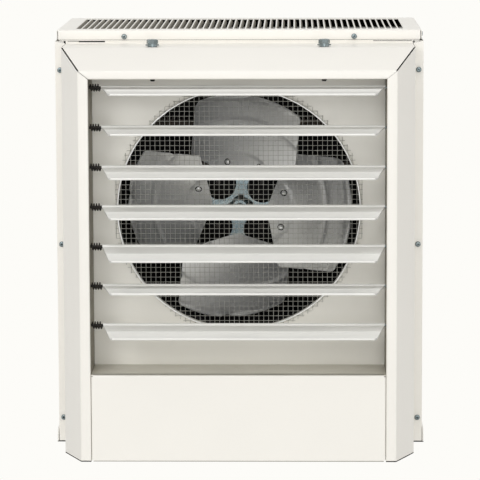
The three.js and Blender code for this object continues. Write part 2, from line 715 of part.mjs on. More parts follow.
function elementRack( side ) {

	const { x, front, back, top, bottom } = RACK;
	const end = BODY.halfWidth - SHEET - GAP;
	const plate = push( bentSheet( [ [ x, front ], [ x, back ], [ end, back ] ], 1 ), 'z', bottom, top );
	const { y, pitch, half } = ELEMENT;
	const holes = times( ELEMENT.count, ( i ) => [ - half, half ].map( ( leg ) =>
		hole( RACK.hole, 'x', [ x, y, ELEMENT.top - i * pitch + leg ], 8 ) ) ).flat();
	const rack = cut( plate, ...holes );
	return side > 0 ? rack : otherHand( rack );

}

const thermalCutout = () => turned( [
	[ 0, 0 ], [ CUTOUT.flange, 0 ], [ CUTOUT.flange, CUTOUT.flangeHeight ],
	[ CUTOUT.radius, CUTOUT.flangeHeight + 1 ],
	[ CUTOUT.radius, CUTOUT.height ], [ 0, CUTOUT.height ],
], 'x', [ SHEET + GAP - RACK.x, ELEMENT.y, ELEMENT.top - ELEMENT.pitch / 2 ], 12 );

// ---------------------------------------------------------------- wiring compartment

const PANEL_FRONT = RECESS.back - GAP;
const within = ( [ from, to ], inset ) => [ from + inset, to - inset ];

function contactor() {

	const { x, z, base, core, cap, inset } = CONTACTOR;
	return join(
		block( x, [ PANEL_FRONT - base, PANEL_FRONT ], z ),
		block( within( x, inset ), [ PANEL_FRONT - core, PANEL_FRONT - base + SINK ], within( z, 2 * inset ) ),
		block( within( x, 3 * inset ), [ PANEL_FRONT - cap, PANEL_FRONT - core + SINK ], within( z, 5 * inset ) ),
	);

}

function terminalBlock() {

	const { x, z, base, height, ways, barrier, inset } = TERMINALS;
	const foot = block( x, [ PANEL_FRONT - base, PANEL_FRONT ], z );
	const barriers = times( ways + 1, ( i ) => {

		const from = x[ 0 ] + i * ( x[ 1 ] - x[ 0 ] - barrier ) / ways;
		const depth = [ PANEL_FRONT - height, PANEL_FRONT - base + SINK ];
		return block( [ from, from + barrier ], depth, within( z, inset ) );

	} );
	return join( foot, ...barriers );

}

function thermostat() {

	const { halfWidth, halfDepth, height, step, inset, well } = THERMOSTAT;
	const { x, y, spindle } = KNOB;
	const floor = BODY.bottom + SHEET + GAP;
	const box = block( around( x, halfWidth ), around( y, halfDepth ), [ floor, floor + height ] );
	const above = [ floor + height - SINK, floor + height + step ];
	const stub = block( around( x, halfWidth - inset ), around( y, halfDepth - inset ), above );
	return cut( join( box, stub ), bar( spindle + 0.5, 'z', [ x, y, 0 ], [ floor - THROUGH, floor + well ] ) );

}

// The dial is made about the spindle, with a pointer rib on its lower face.
function thermostatKnob() {

	const { radius, height, spindle, stem, rib, ribHeight } = KNOB;
	const dial = turned( [
		[ 0, - height ], [ radius - 2, - height ], [ radius - 1, 1.5 - height ],
		[ radius, - 3 ], [ radius, 0 ], [ 0, 0 ],
	], 'z', [ 0, 0, 0 ], 20 );
	const pointer = block( around( 0, rib ), around( 0, radius - 2 ), [ - height - ribHeight, 1 - height ] );
	return join( dial, pointer, bar( spindle, 'z', [ 0, 0, 0 ], [ - 1, stem ] ) );

}

function conduitGland() {

	const { x, y, bore, collar, flange, nut, below, above } = GLAND;
	return turned( [
		[ bore, - below ], [ collar - 1, - below ], [ collar, - nut ], [ flange, - nut ], [ flange, - GAP ],
		[ collar, - GAP ], [ collar, above ], [ bore, above ], [ bore, - below ],
	], 'z', [ x, y, BODY.bottom ], 16 );

}

// ---------------------------------------------------------------- fasteners

// A pan-head screw along +Y with its seat at the origin.
function screw() {

	const { head, height, shank, reach } = SCREW;
	return turned( [
		[ 0, - height ], [ head * 0.7, - height ], [ head, - height * 0.4 ],
		[ head, 0 ], [ shank, 0 ], [ 0, reach ],
	], 'y', [ 0, 0, 0 ], 8 );

}

function suspensionBolt() {

	const { headTop, headHeight, across, shank, tip } = BOLT;
	const head = bar( across / Math.sqrt( 3 ), 'z', [ 0, 0, 0 ], [ headTop - headHeight, headTop ], 6 );
	const stem = turned( [
		[ 0, tip ], [ shank - 1, tip ], [ shank, tip + 1 ], [ shank, headTop - 1 ], [ 0, headTop - 1 ],
	], 'z', [ 0, 0, 0 ], 12 );
	return join( head, stem );

}

// ---------------------------------------------------------------- assembly

add( 'top_cover', topCover(), ALMOND );
add( 'left_side_panel', sidePanel( - 1 ), ALMOND );
add( 'right_side_panel', sidePanel( 1 ), ALMOND );
add( 'rear_panel', rearPanel(), ALMOND );
add( 'bottom_pan', bottomPan(), ALMOND );
add( 'frame_left', frameSide( - 1 ), ALMOND );
add( 'frame_right', frameSide( 1 ), ALMOND );
add( 'frame_top', frameTop(), ALMOND );
add( 'orifice_panel', orificePanel(), ALMOND_INSIDE );
add( 'recess_floor', recessFloor(), ALMOND_INSIDE );
add( 'access_door', accessDoor(), ALMOND, [ 0, DOOR_HINGE.y, DOOR_HINGE.z ] );

add( 'mesh_guard', meshGuard(), GALVANISED );
add( 'guard_rim', guardRim(), GALVANISED );

const louverShape = louver();
const springPoints = springCurve();
const springShape = wireAlong( springPoints, SPRING.wire / 2, SPRING.sides );
const gap = leastGap( springPoints, SPRING.wire, Math.ceil( SPRING.stepsPerTurn * 0.6 ) );
LOUVER_TILTS.forEach( ( tilt, i ) => {

	const place = [ 0, LOUVER.y, LOUVER.top - i * LOUVER.pitch ];
	const turn = [ degrees( tilt ), 0, 0 ];
	add( `louver_${ i + 1 }`, louverShape, ALUMINIUM, place, turn );
	add( `louver_spring_${ i + 1 }`, springShape, BLACK_STEEL, place, turn );
	console.log( `louver_spring_${ i + 1 }: least gap to itself ${ gap.toFixed( 2 ) } mm` );

} );

const hubPlace = [ 0, FAN.y, FAN.z ];
const bladeShape = fanBlade();
add( 'fan_hub', fanHub(), ZINC, hubPlace, [ 0, degrees( FAN.turn ), 0 ] );
for ( let i = 0; i < FAN.blades; i ++ ) {

	add( `fan_blade_${ i + 1 }`, bladeShape, ALUMINIUM, hubPlace, [ 0, degrees( FAN.turn + 90 * i ), 0 ] );

}

add( 'motor_shaft', motorShaft(), ZINC );
add( 'motor_housing', motorHousing(), DARK_ENAMEL );
add( 'motor_front_bell', motorFrontBell(), DARK_ENAMEL );
add( 'motor_rear_bell', motorRearBell(), DARK_ENAMEL );
add( 'motor_bridge', motorBridge(), GALVANISED );

const elementShape = heatingElement();
for ( let i = 0; i < ELEMENT.count; i ++ ) {

	const place = [ 0, ELEMENT.y, ELEMENT.top - i * ELEMENT.pitch ];
	add( `heating_element_${ i + 1 }`, elementShape, SHEATH, place );

}

add( 'element_rack_left', elementRack( - 1 ), GALVANISED );
add( 'element_rack_right', elementRack( 1 ), GALVANISED );
add( 'thermal_cutout', thermalCutout(), BLACK_PLASTIC );

add( 'contactor', contactor(), BLACK_PLASTIC );
add( 'terminal_block', terminalBlock(), PALE_PLASTIC );
add( 'thermostat', thermostat(), PALE_PLASTIC );
add( 'thermostat_knob', thermostatKnob(), BLACK_PLASTIC, [ KNOB.x, KNOB.y, BODY.bottom - GAP ] );
add( 'conduit_gland', conduitGland(), ZINC );

const screwShape = screw();
const boltShape = suspensionBolt();
for ( const [ word, side ] of [ [ 'left', - 1 ], [ 'right', 1 ] ] ) {

	[ 'top', 'middle', 'bottom' ].forEach( ( level, i ) => {

		const place = [ side * FLANGE_SCREWS.x, BODY.front - GAP, FLANGE_SCREWS.z[ i ] ];
		add( `flange_screw_${ word }_${ level }`, screwShape, ZINC, place );

	} );
	const front = [ side * COVER_SCREWS.x, - COVER.halfDepth - GAP, COVER_SCREWS.z ];
	const end = [ side * ( COVER.halfWidth + GAP ), COVER_SCREWS.sideY, COVER_SCREWS.z ];
	add( `cover_screw_front_${ word }`, screwShape, ZINC, front );
	add( `cover_screw_${ word }_side`, screwShape, ZINC, end, [ 0, 0, side * Math.PI / 2 ] );
	add( `suspension_bolt_${ word }`, boltShape, ZINC, [ side * BOLT.x, BOLT.y, 0 ] );

}

export default heater;
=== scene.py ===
"""Ceiling mounted fan heater: shapes and finishes of every piece, with a plain stage, as an add-on.

Sizes in the helpers are in millimetres, and each finished piece is scaled to metres in its mesh.
X runs to the right, Y to the back and Z up; the origin is the centre of the top cover's upper face.
"""

from math import copysign, cos, exp, hypot, pi, radians, sin, sqrt, tan

import bmesh
import bpy
from bmesh.types import BMEdge, BMVert
from bpy.props import FloatProperty, FloatVectorProperty, IntProperty, PointerProperty
from bpy.types import Operator, Panel, PropertyGroup
from mathutils import Matrix, Vector


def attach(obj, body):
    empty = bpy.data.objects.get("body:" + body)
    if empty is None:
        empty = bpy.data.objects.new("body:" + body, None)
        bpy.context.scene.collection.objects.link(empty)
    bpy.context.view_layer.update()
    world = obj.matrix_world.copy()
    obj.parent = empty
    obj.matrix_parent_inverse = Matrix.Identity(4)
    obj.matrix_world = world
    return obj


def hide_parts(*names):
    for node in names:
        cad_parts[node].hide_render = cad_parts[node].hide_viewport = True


bl_info = {
    "name": "Ceiling fan heater",
    "version": (1, 0, 0),
    "blender": (4, 5, 0),
    "location": "3D Viewport > Sidebar > Heater",
    "description": "Makes the pieces, finishes and stage of a ceiling mounted fan heater",
    "category": "Object",
}

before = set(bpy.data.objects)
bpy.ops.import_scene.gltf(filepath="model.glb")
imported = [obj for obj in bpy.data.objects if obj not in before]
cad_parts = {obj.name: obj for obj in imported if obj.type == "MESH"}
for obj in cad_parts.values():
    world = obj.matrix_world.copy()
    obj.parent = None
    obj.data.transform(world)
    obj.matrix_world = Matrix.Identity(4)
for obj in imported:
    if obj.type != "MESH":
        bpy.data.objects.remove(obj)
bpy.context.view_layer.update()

MM = 0.001
FACE_Y, OPENING, FLAT, HOUSING = -242.0, 188.5, 201.6, 226.0
BODY_HALF, BODY_FRONT, BODY_TOP, BODY_BOTTOM = 239.5, -121.2, -14.5, -545.0
RECESS_BACK, RECESS_FLOOR = -166.0, -432.6
OUTLET_Z, OUTLET_RADIUS = -228.6, 156.0
FAN_Y, FAN_Z, FAN_TURN, FAN_TWIST, BLADES = -101.3, -234.1, 5.4, -33.0, 4
LOUVER_Y, LOUVER_TOP, LOUVER_PITCH = -222.0, -65.9, 50.87
LOUVER_TILTS = (3.5, 3.0, 10.0, 10.0, 15.0, 1.5, 11.0)
LOUVER_LEFT, LOUVER_RIGHT, PIN_REACH = -173.2, 186.9, 191.5
LOUVER_ENDS = ((8, 0), (-2, 0), (-41, 10.2), (-45, 16), (-47, 22))
BEVEL_Y, BACK_Y = -189.0, 122.2
LIP_Z, FLAT_Z, BEVEL_Z = -54.0, -43.4, -17.8
MITRE = ((OPENING, LIP_Z), (FLAT, FLAT_Z), (HOUSING, BEVEL_Z), (HOUSING + 30, BEVEL_Z + 30))
GAP = 0.3
# Dark enamel: the motor's own paint, and painted shade on inner faces, gap strips, rivet seats and screw
# recesses.
ENAMEL_AND_PAINTED_SHADE = "dark_enamel"


# ---------------------------------------------------------------- sizes and colours


def length(name, description, default):
    return FloatProperty(
        name=name, description=description, default=default, min=0.0, unit="LENGTH", precision=5)


def colour(name, description, default):
    return FloatVectorProperty(
        name=name, description=description, default=default, subtype="COLOR", size=3, min=0.0, max=1.0)


class HeaterSizes(PropertyGroup):
    """Sizes of the formed sheet, wire and turned work"""

    sheet: length("Sheet", "Thickness of every folded steel sheet", 0.0012)
    bend: length("Bend radius", "Inner radius of each fold in the sheet", 0.0008)
    mitre_gap: length("Mitre gap", "Gap left where the housing's top piece meets its sides", 0.0018)
    slot_width: length("Slot width", "Width of each slot in the top cover", 0.0063)
    slot_pitch: length("Slot pitch", "Distance between neighbouring slots", 0.00795)
    slot_count: IntProperty(name="Slots", description="Number of slots in the top cover", default=54, min=1)
    net_wire: length("Net wire", "Diameter of the wire in the outlet's net", 0.00062)
    net_pitch: length("Net pitch", "Distance between the wires of the net", 0.00635)
    spring_wire: length("Spring wire", "Diameter of the louvre springs' wire", 0.0017)
    fin_pitch: length("Fin pitch", "Distance between fins on a heating element", 0.0072)
    rivet: length("Rivet head", "Radius of the rivet heads on the fan", 0.0034)


class HeaterColours(PropertyGroup):
    """Colours of the finishes"""

    almond: colour("Almond paint", "Powder coat on the outside", (0.913, 0.888, 0.831))
    almond_inside: colour("Inner almond paint", "Powder coat on the outlet plate", (0.95, 0.93, 0.865))
    # Painted shade: this dark almond stands for the shade on the opening's walls and ceiling, the cover's
    # flaps and the door's bottom fold.
    recess_wall: colour("Recess wall", "Powder coat on the opening's walls", (0.29, 0.27, 0.225))
    # Painted shade: a darker almond that the shelf's upper face takes.
    shelf: colour("Shelf", "Powder coat on the shelf under the louvres", (0.72, 0.69, 0.60))
    louver_aluminium: colour("Louvre gloss", "Gloss coat on the extruded louvres", (0.88, 0.875, 0.84))
    aluminium: colour("Sheet aluminium", "Fan blades", (0.97, 0.97, 0.965))
    galvanised: colour("Galvanised steel", "Wire net and brackets", (0.62, 0.62, 0.585))
    zinc: colour("Blue zinc", "Plated screws, bolts and spider", (0.16, 0.205, 0.225))
    black_steel: colour("Black steel", "Louvre springs", (0.018, 0.017, 0.015))
    # Dark enamel of the motor. On inner faces, gap strips, rivet seats and screw recesses this near-black
    # colour is painted shade.
    dark_enamel: colour("Dark enamel", "Motor and the inner walls behind the fan", (0.006, 0.006, 0.0065))
    element_sheath: colour("Element sheath", "Oxidised heating elements", (0.05, 0.045, 0.04))
    black_plastic: colour("Black plastic", "Knob and contactor", (0.02, 0.02, 0.021))
    pale_plastic: colour("Pale plastic", "Terminal block and thermostat", (0.66, 0.62, 0.52))
    backdrop: colour("Backdrop", "Floor and background", (0.982, 0.973, 0.939))


def size(name):
    """A length of the size settings in millimetres, or a count."""
    value = getattr(bpy.context.scene.heater_sizes, name)
    return value if isinstance(value, int) else value / MM


def tint(name, shade=1.0):
    """A colour of the colour settings with its alpha, made lighter or darker."""
    return (*[min(1.0, c * shade) for c in getattr(bpy.context.scene.heater_colours, name)], 1.0)


# ---------------------------------------------------------------- finishes


class Finish:
    """A material that is put together from nodes on Object coordinates."""

    def __init__(self, name, **constants):
        self.material = bpy.data.materials.new(name)
        self.material.use_nodes = True
        self.nodes = self.material.node_tree.nodes
        self.shader = self.nodes["Principled BSDF"]
        self.place = self.nodes.new("ShaderNodeTexCoord").outputs["Object"]
        for socket, value in constants.items():
            self.shader.inputs[socket.replace("_", " ")].default_value = value

    def link(self, source, target):
        self.material.node_tree.links.new(source, target)

    def stretched(self, scale):
        node = self.nodes.new("ShaderNodeMapping")
        node.inputs["Scale"].default_value = scale
        self.link(self.place, node.inputs["Vector"])
        return node.outputs["Vector"]

    def noise(self, scale, detail=2.0, roughness=0.5, place=None):
        node = self.nodes.new("ShaderNodeTexNoise")
        node.inputs["Scale"].default_value = scale
        node.inputs["Detail"].default_value = detail
        node.inputs["Roughness"].default_value = roughness
        self.link(place or self.place, node.inputs["Vector"])
        return node.outputs["Fac"]

    def cells(self, scale):
        node = self.nodes.new("ShaderNodeTexVoronoi")
        node.inputs["Scale"].default_value = scale
        self.link(self.place, node.inputs["Vector"])
        return node.outputs["Color"]

    def spread(self, value, low, high, start=0.3, end=0.7):
        node = self.nodes.new("ShaderNodeMapRange")
        for socket, number in (("From Min", start), ("From Max", end), ("To Min", low), ("To Max", high)):
            node.inputs[socket].default_value = number
        self.link(value, node.inputs["Value"])
        return node.outputs["Result"]

    def blend(self, factor, low, high):
        node = self.nodes.new("ShaderNodeMix")
        node.data_type = "RGBA"
        for socket, value in (("A_Color", low), ("B_Color", high)):
            target = next(s for s in node.inputs if s.identifier == socket)
            if isinstance(value, tuple):
                target.default_value = value
            else:
                self.link(value, target)
        self.link(factor, next(s for s in node.inputs if s.identifier == "Factor_Float"))
        return next(s for s in node.outputs if s.identifier == "Result_Color")

    def bump(self, height, strength, distance, under=None):
        node = self.nodes.new("ShaderNodeBump")
        node.inputs["Strength"].default_value = strength
        node.inputs["Distance"].default_value = distance
        self.link(height, node.inputs["Height"])
        if under is not None:
            self.link(under, node.inputs["Normal"])
        return node.outputs["Normal"]

    def wear(self, **values):
        for socket, value in values.items():
            self.link(value, self.shader.inputs[socket.replace("_", " ")])


def powder_coat(slot, shade=1.0, gloss=0.34):
    """Satin powder coat: a fine orange peel, faint mottling and a few specks."""
    finish = Finish(slot, Coat_Weight=0.12, Coat_Roughness=0.25)
    cloud = finish.spread(finish.noise(7.0, 3.0), 0.0, 1.0)
    speck = finish.spread(finish.noise(1900.0, 1.0), 0.0, 1.0, 0.66, 0.78)
    base = finish.blend(cloud, tint(slot, shade), tint(slot, shade * 0.975))
    finish.wear(Base_Color=finish.blend(speck, base, tint(slot, shade * 0.9)))
    finish.wear(Roughness=finish.spread(finish.noise(60.0, 3.0), gloss - 0.04, gloss + 0.07))
    peel = finish.bump(finish.noise(620.0, 2.0), 0.12, 0.00025)
    finish.wear(Normal=finish.bump(finish.noise(26.0, 1.0), 0.05, 0.002, peel))
    return finish.material


def painted_shade_coat(slot):
    """Powder coat without its clear coat and duller: with the dark recess colour it is painted shade on the
    opening's walls and ceiling, the cover's flaps and the door's bottom fold.
    """
    coat = powder_coat(slot, gloss=0.6)
    shader = coat.node_tree.nodes["Principled BSDF"]
    shader.inputs["Coat Weight"].default_value = 0.0
    shader.inputs["Specular IOR Level"].default_value = 0.15
    return coat


def galvanised(slot):
    """Hot dip zinc: spangle cells that differ in tone and gloss."""
    finish = Finish(slot, Metallic=0.6)
    cells = finish.cells(160.0)
    tone = finish.spread(cells, 0.0, 1.0, 0.0, 1.0)
    finish.wear(Base_Color=finish.blend(tone, tint(slot, 0.86), tint(slot, 1.1)))
    finish.wear(Roughness=finish.spread(cells, 0.36, 0.52, 0.0, 1.0))
    finish.wear(Normal=finish.bump(finish.noise(700.0, 3.0), 0.1, 0.0001))
    return finish.material


def rolled_aluminium(slot):
    """Mill aluminium sheet: rolling lines, dull patches and fine scratches."""
    finish = Finish(slot, Metallic=0.55)
    lines = finish.noise(1.0, 4.0, 0.6, finish.stretched((900.0, 900.0, 40.0)))
    patch = finish.spread(finish.noise(18.0, 3.0), 0.0, 1.0)
    finish.wear(Base_Color=finish.blend(patch, tint(slot), tint(slot, 0.9)))
    finish.wear(Roughness=finish.spread(lines, 0.27, 0.38))
    finish.wear(Normal=finish.bump(lines, 0.03, 0.0001))
    return finish.material


def gloss_coat(slot):
    """Gloss off-white coat on an extrusion: die lines show faintly through it."""
    finish = Finish(slot, Coat_Weight=0.3, Coat_Roughness=0.12)
    die = finish.noise(1.0, 3.0, 0.6, finish.stretched((3.0, 1200.0, 1200.0)))
    haze = finish.spread(finish.noise(1.0, 3.0, 0.5, finish.stretched((14.0, 80.0, 80.0))), 0.0, 1.0)
    finish.wear(Base_Color=finish.blend(haze, tint(slot), tint(slot, 0.95)))
    finish.wear(Roughness=finish.spread(die, 0.26, 0.36))
    finish.wear(Normal=finish.bump(die, 0.05, 0.00006))
    return finish.material


def clouded(slot, other, patches, gloss, grain=None, limits=(0.3, 0.7), **constants):
    """A finish whose colour clouds over into another, with a gloss that wanders and perhaps a grain."""
    finish = Finish(slot, **constants)
    cloud = finish.spread(finish.noise(*patches), 0.0, 1.0, *limits)
    finish.wear(Base_Color=finish.blend(cloud, tint(slot), (*other, 1.0)))
    (scale, detail), (low, high) = gloss
    finish.wear(Roughness=finish.spread(finish.noise(scale, detail), low, high))
    if grain:
        (scale, detail), (strength, distance) = grain
        finish.wear(Normal=finish.bump(finish.noise(scale, detail), strength, distance))
    return finish.material


def blue_zinc(slot):
    """Bright zinc plate with a blue passivate that clouds from place to place."""
    return clouded(slot, (0.22, 0.25, 0.25), (55.0, 4.0, 0.6), ((300.0, 3.0), (0.18, 0.34)),
                   ((900.0, 2.0), (0.02, 0.00008)), Metallic=1.0)


def black_oxide(slot):
    """Blackened spring wire with brown where it rubs."""
    return clouded(slot, (0.05, 0.035, 0.022), (420.0, 3.0), ((900.0, 2.0), (0.32, 0.5)),
                   limits=(0.5, 0.8), Metallic=0.6)


def matt_enamel_and_painted_shade(slot):
    """Dull dark stove enamel with dust in its grain: the motor's own paint, and painted shade on inner faces
    and in gaps and recesses.
    """
    return clouded(slot, (0.012, 0.0115, 0.011), (210.0, 4.0, 0.6), ((90.0, 2.0), (0.6, 0.8)),
                   ((1100.0, 2.0), (0.1, 0.0001)), (0.45, 0.8), Specular_IOR_Level=0.06)


def heated_sheath(slot):
    """Steel that has been heated often: straw, brown and grey scale."""
    return clouded(slot, (0.09, 0.07, 0.055), (70.0, 5.0, 0.65), ((260.0, 3.0), (0.42, 0.62)),
                   ((1300.0, 2.0), (0.15, 0.0001)), Metallic=0.75)


def moulded_plastic(slot):
    """Moulded plastic with a spark-eroded grain."""
    finish = Finish(slot)
    grain = finish.noise(1500.0, 2.0)
    tone = finish.spread(finish.noise(35.0, 2.0), 0.0, 1.0)
    finish.wear(Base_Color=finish.blend(tone, tint(slot), tint(slot, 0.9)))
    finish.wear(Roughness=finish.spread(grain, 0.42, 0.58))
    finish.wear(Normal=finish.bump(grain, 0.12, 0.00012))
    return finish.material


FINISHES = {
    **dict.fromkeys(("almond", "almond_inside", "shelf"), powder_coat), "recess_wall": painted_shade_coat,
    **dict.fromkeys(("black_plastic", "pale_plastic"), moulded_plastic), "galvanised": galvanised,
    "aluminium": rolled_aluminium, "louver_aluminium": gloss_coat, "zinc": blue_zinc,
    "black_steel": black_oxide, "dark_enamel": matt_enamel_and_painted_shade, "element_sheath": heated_sheath,
}
MADE = {}


def finish_of(slot):
    """The finish of a slot, made once."""
    if slot not in MADE:
        MADE[slot] = FINISHES[slot](slot)
    return MADE[slot]


# ---------------------------------------------------------------- shape helpers


def spot(axis, a, b, at):
    """A point of an outline: the outline is (y, z) for X, (x, z) for Y and (x, y) for Z."""
    return {"X": (at, a, b), "Y": (a, at, b), "Z": (a, b, at)}[axis]


def fresh(made, kind, key="geom"):
    """What an operator has made of one kind."""
    return [item for item in made[key] if isinstance(item, kind)]


def outwards(bm):
    """The same shape with every face turned outwards."""
    bmesh.ops.recalc_face_normals(bm, faces=bm.faces[:])
    return bm


def arc(centre, radius, start, end, steps):
    """Points on an arc, in degrees."""
    angles = [radians(start + (end - start) * i / steps) for i in range(steps + 1)]
    return [(centre[0] + radius * cos(a), centre[1] + radius * sin(a)) for a in angles]


def cut(bm, place, normal, clear=False):
    """Cuts a shape by a plane, and closes it where the outer side is cleared."""
    made = bmesh.ops.bisect_plane(bm, geom=bm.verts[:] + bm.edges[:] + bm.faces[:], dist=1e-4, plane_co=place,
                                  plane_no=normal, clear_outer=clear)
    if clear:
        bmesh.ops.contextual_create(bm, geom=fresh(made, BMEdge, "geom_cut"))


def thickened(bm, axis, depth):
    """A flat open shape, closed by pushing it along an axis."""
    made = bmesh.ops.extrude_face_region(bm, geom=bm.faces[:])
    bmesh.ops.translate(bm, verts=fresh(made, BMVert), vec=spot(axis, 0, 0, depth))
    return outwards(bm)


def slab(points, axis, low, high, radii=None, steps=3):
    """A closed outline, with its corners rounded where radii are given, pushed along an axis."""
    bm = bmesh.new()
    corners = [bm.verts.new(spot(axis, *p, low)) for p in points]
    bm.faces.new(corners)
    for corner, radius in zip(corners, radii or []):
        if radius > 0:
            a, b = [e.other_vert(corner).co - corner.co for e in corner.link_edges]
            bmesh.ops.bevel(bm, geom=[corner], offset=radius / tan(a.angle(b) / 2), segments=steps,
                            profile=0.5, affect="VERTICES", material=-1)
    return thickened(bm, axis, high - low)


def block(x, y, z, edge=0.0, steps=2):
    """A block between two limits on each axis, its edges rounded."""
    bm = slab([(x[0], y[0]), (x[1], y[0]), (x[1], y[1]), (x[0], y[1])], "Z", *z)
    if edge:
        softened(bm, lambda e: True, edge, steps)
    return bm


def folded(path, side, axis, low, high, sheet=None, bend=None):
    """Sheet folded along a path, to the left of it for side 1, with round bends, pushed along an axis."""
    sheet = sheet or size("sheet")
    bend = bend or size("bend")
    points = [Vector(p) for p in path]
    ways = [(b - a).normalized() for a, b in zip(points, points[1:])]
    lefts = [Vector((-d.y, d.x)) * side for d in ways]
    inner, radii, inner_radii = [], [], []
    for i, p in enumerate(points):
        before, after = lefts[max(i - 1, 0)], lefts[min(i, len(lefts) - 1)]
        middle = (before + after).normalized()
        inner.append(p + middle * (sheet / middle.dot(after)))
        if 0 < i < len(points) - 1:
            closing = ways[i - 1].cross(ways[i]) * side > 0
            radii.append(bend + sheet if closing else bend)
            inner_radii.append(bend if closing else bend + sheet)
        else:
            radii.append(0)
            inner_radii.append(0)
    return slab([*points, *reversed(inner)], axis, low, high, radii + inner_radii[::-1], 4)


def closed(bm, points):
    """Edges from point to point and back to the first."""
    return [bm.edges.new(pair) for pair in zip(points, points[1:] + points[:1])]


def pierced(outer, holes, axis, low, high):
    """Flat sheet with holes."""
    bm = bmesh.new()
    for loop in (outer, *holes):
        points = [bm.verts.new(spot(axis, *p, low)) for p in loop]
        closed(bm, points)
    bmesh.ops.triangle_fill(bm, use_beauty=True, use_dissolve=False, edges=bm.edges[:])
    return thickened(bm, axis, high - low)


def turned(profile, axis, steps=32, centre=(0, 0, 0)):
    """A turned shape. The profile is (radius, distance along the axis)."""
    bm = bmesh.new()
    along, out = Vector(spot(axis, 0, 0, 1)), Vector(spot(axis, 1, 0, 0))
    line = [bm.verts.new(Vector(centre) + out * radius + along * at) for radius, at in profile]
    edges = [bm.edges.new(pair) for pair in zip(line, line[1:])]
    bmesh.ops.spin(bm, geom=line + edges, cent=centre, axis=along, dvec=(0, 0, 0), angle=2 * pi,
                   steps=steps, use_merge=True, use_duplicate=False)
    bmesh.ops.remove_doubles(bm, verts=bm.verts[:], dist=1e-3)
    bmesh.ops.dissolve_degenerate(bm, dist=1e-4, edges=bm.edges[:])
    return outwards(bm)


def pushed(bm, edges):
    """A loop of edges, extruded: the new corners and the new loop."""
    made = bmesh.ops.extrude_edge_only(bm, edges=edges)
    ring = fresh(made, BMVert)
    return ring, [e for e in fresh(made, BMEdge) if all(v in ring for v in e.verts)]


def tube(points, radius, sides=8):
    """Round wire or tube along points, its ends closed."""
    bm = bmesh.new()
    points = [Vector(p) for p in points]
    last = len(points) - 1
    ways = [(points[min(i + 1, last)] - points[max(i - 1, 0)]).normalized() for i in range(last + 1)]
    turn = Vector((0, 0, 1)).rotation_difference(ways[0])
    at = Matrix.LocRotScale(points[0], turn, None)
    ring = bmesh.ops.create_circle(bm, cap_ends=True, radius=radius, segments=sides, matrix=at)["verts"]
    edges = list({e for v in ring for e in v.link_edges})
    for i in range(1, last + 1):
        ring, edges = pushed(bm, edges)
        turn = ways[i - 1].rotation_difference(ways[i]) @ turn
        then = Matrix.LocRotScale(points[i], turn, None)
        bmesh.ops.transform(bm, matrix=then @ at.inverted(), verts=ring)
        at = then
    bmesh.ops.contextual_create(bm, geom=edges)
    return outwards(bm)


def pin(start, radius):
    """A round pin along X, from a place on the right to the frame, with a chamfered end."""
    return turned([(0, start), (radius, start), (radius, PIN_REACH - 0.4), (radius - 0.4, PIN_REACH),
                   (0, PIN_REACH)], "X", 20)


def placed(bm, *steps):
    """The same shape after each transform in turn."""
    for matrix in steps:
        bmesh.ops.transform(bm, matrix=matrix, verts=bm.verts[:])
    return bm


def moved(x, y, z):
    """A move, in millimetres."""
    return Matrix.Translation((x, y, z))


def rotated(degrees, axis):
    """A turn about an axis through the origin."""
    return Matrix.Rotation(radians(degrees), 4, axis)


def other_hand(bm):
    """A shape of the right side, made into the one of the left side."""
    bmesh.ops.scale(bm, vec=(-1, 1, 1), verts=bm.verts[:])
    bmesh.ops.reverse_faces(bm, faces=bm.faces[:])
    return bm


def shaped(bm, rule):
    """Moves every vertex by a rule from its place."""
    for vertex in bm.verts:
        vertex.co = rule(vertex.co.copy())
    return bm


def softened(bm, test, offset, steps=3):
    """Rounds the edges that a test picks."""
    chosen = [e for e in bm.edges if test(e)]
    bmesh.ops.bevel(bm, geom=chosen, offset=offset, segments=steps, profile=0.5, affect="EDGES", material=-1)
    return bm


def painted(bm, index):
    """The same shape in one of the finishes of its piece."""
    for face in bm.faces:
        face.material_index = index
    return bm


def gathered(parts):
    """Several shapes in one."""
    whole = bmesh.new()
    for part in parts:
        store = bpy.data.meshes.new("part")
        part.to_mesh(store)
        part.free()
        whole.from_mesh(store)
        bpy.data.meshes.remove(store)
    return whole


def piece(name, parts, slots, body, nodes=(), crease=32, inside=None):
    """Puts shapes together as one piece, in metres, that rides on a body and stands for CAD nodes."""
    bm = gathered(parts)
    bm.normal_update()
    for face in bm.faces:
        face.smooth = True
        # A rule, if given, picks another finish for a face: painted shade on inner faces, edges and recesses.
        finish = inside(face.calc_center_median(), face.normal) if inside else 0
        if finish:
            face.material_index = int(finish)
    for edge in bm.edges:
        edge.smooth = len(edge.link_faces) == 2 and edge.calc_face_angle(0) < radians(crease)
    bmesh.ops.scale(bm, vec=(MM, MM, MM), verts=bm.verts[:])
    mesh = bpy.data.meshes.new(name)
    bm.to_mesh(mesh)
    bm.free()
    for slot in slots:
        mesh.materials.append(finish_of(slot))
    made = bpy.data.objects.new(name, mesh)
    bpy.context.scene.collection.objects.link(made)
    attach(made, body)
    if nodes:
        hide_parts(*nodes)
    return made


def ramp(value, start, end):
    """Smooth from 0 to 1 between two limits."""
    t = min(1.0, max(0.0, (value - start) / (end - start)))
    return t * t * (3 - 2 * t)


def between(table, value):
    """A straight-line value from a table of (at, value) in rising or falling order of at."""
    table = sorted(table)
    if value <= table[0][0]:
        return table[0][1]
    for (a, low), (b, high) in zip(table, table[1:]):
        if value <= b:
            return low + (high - low) * (value - a) / (b - a)
    return table[-1][1]


# ---------------------------------------------------------------- cabinet


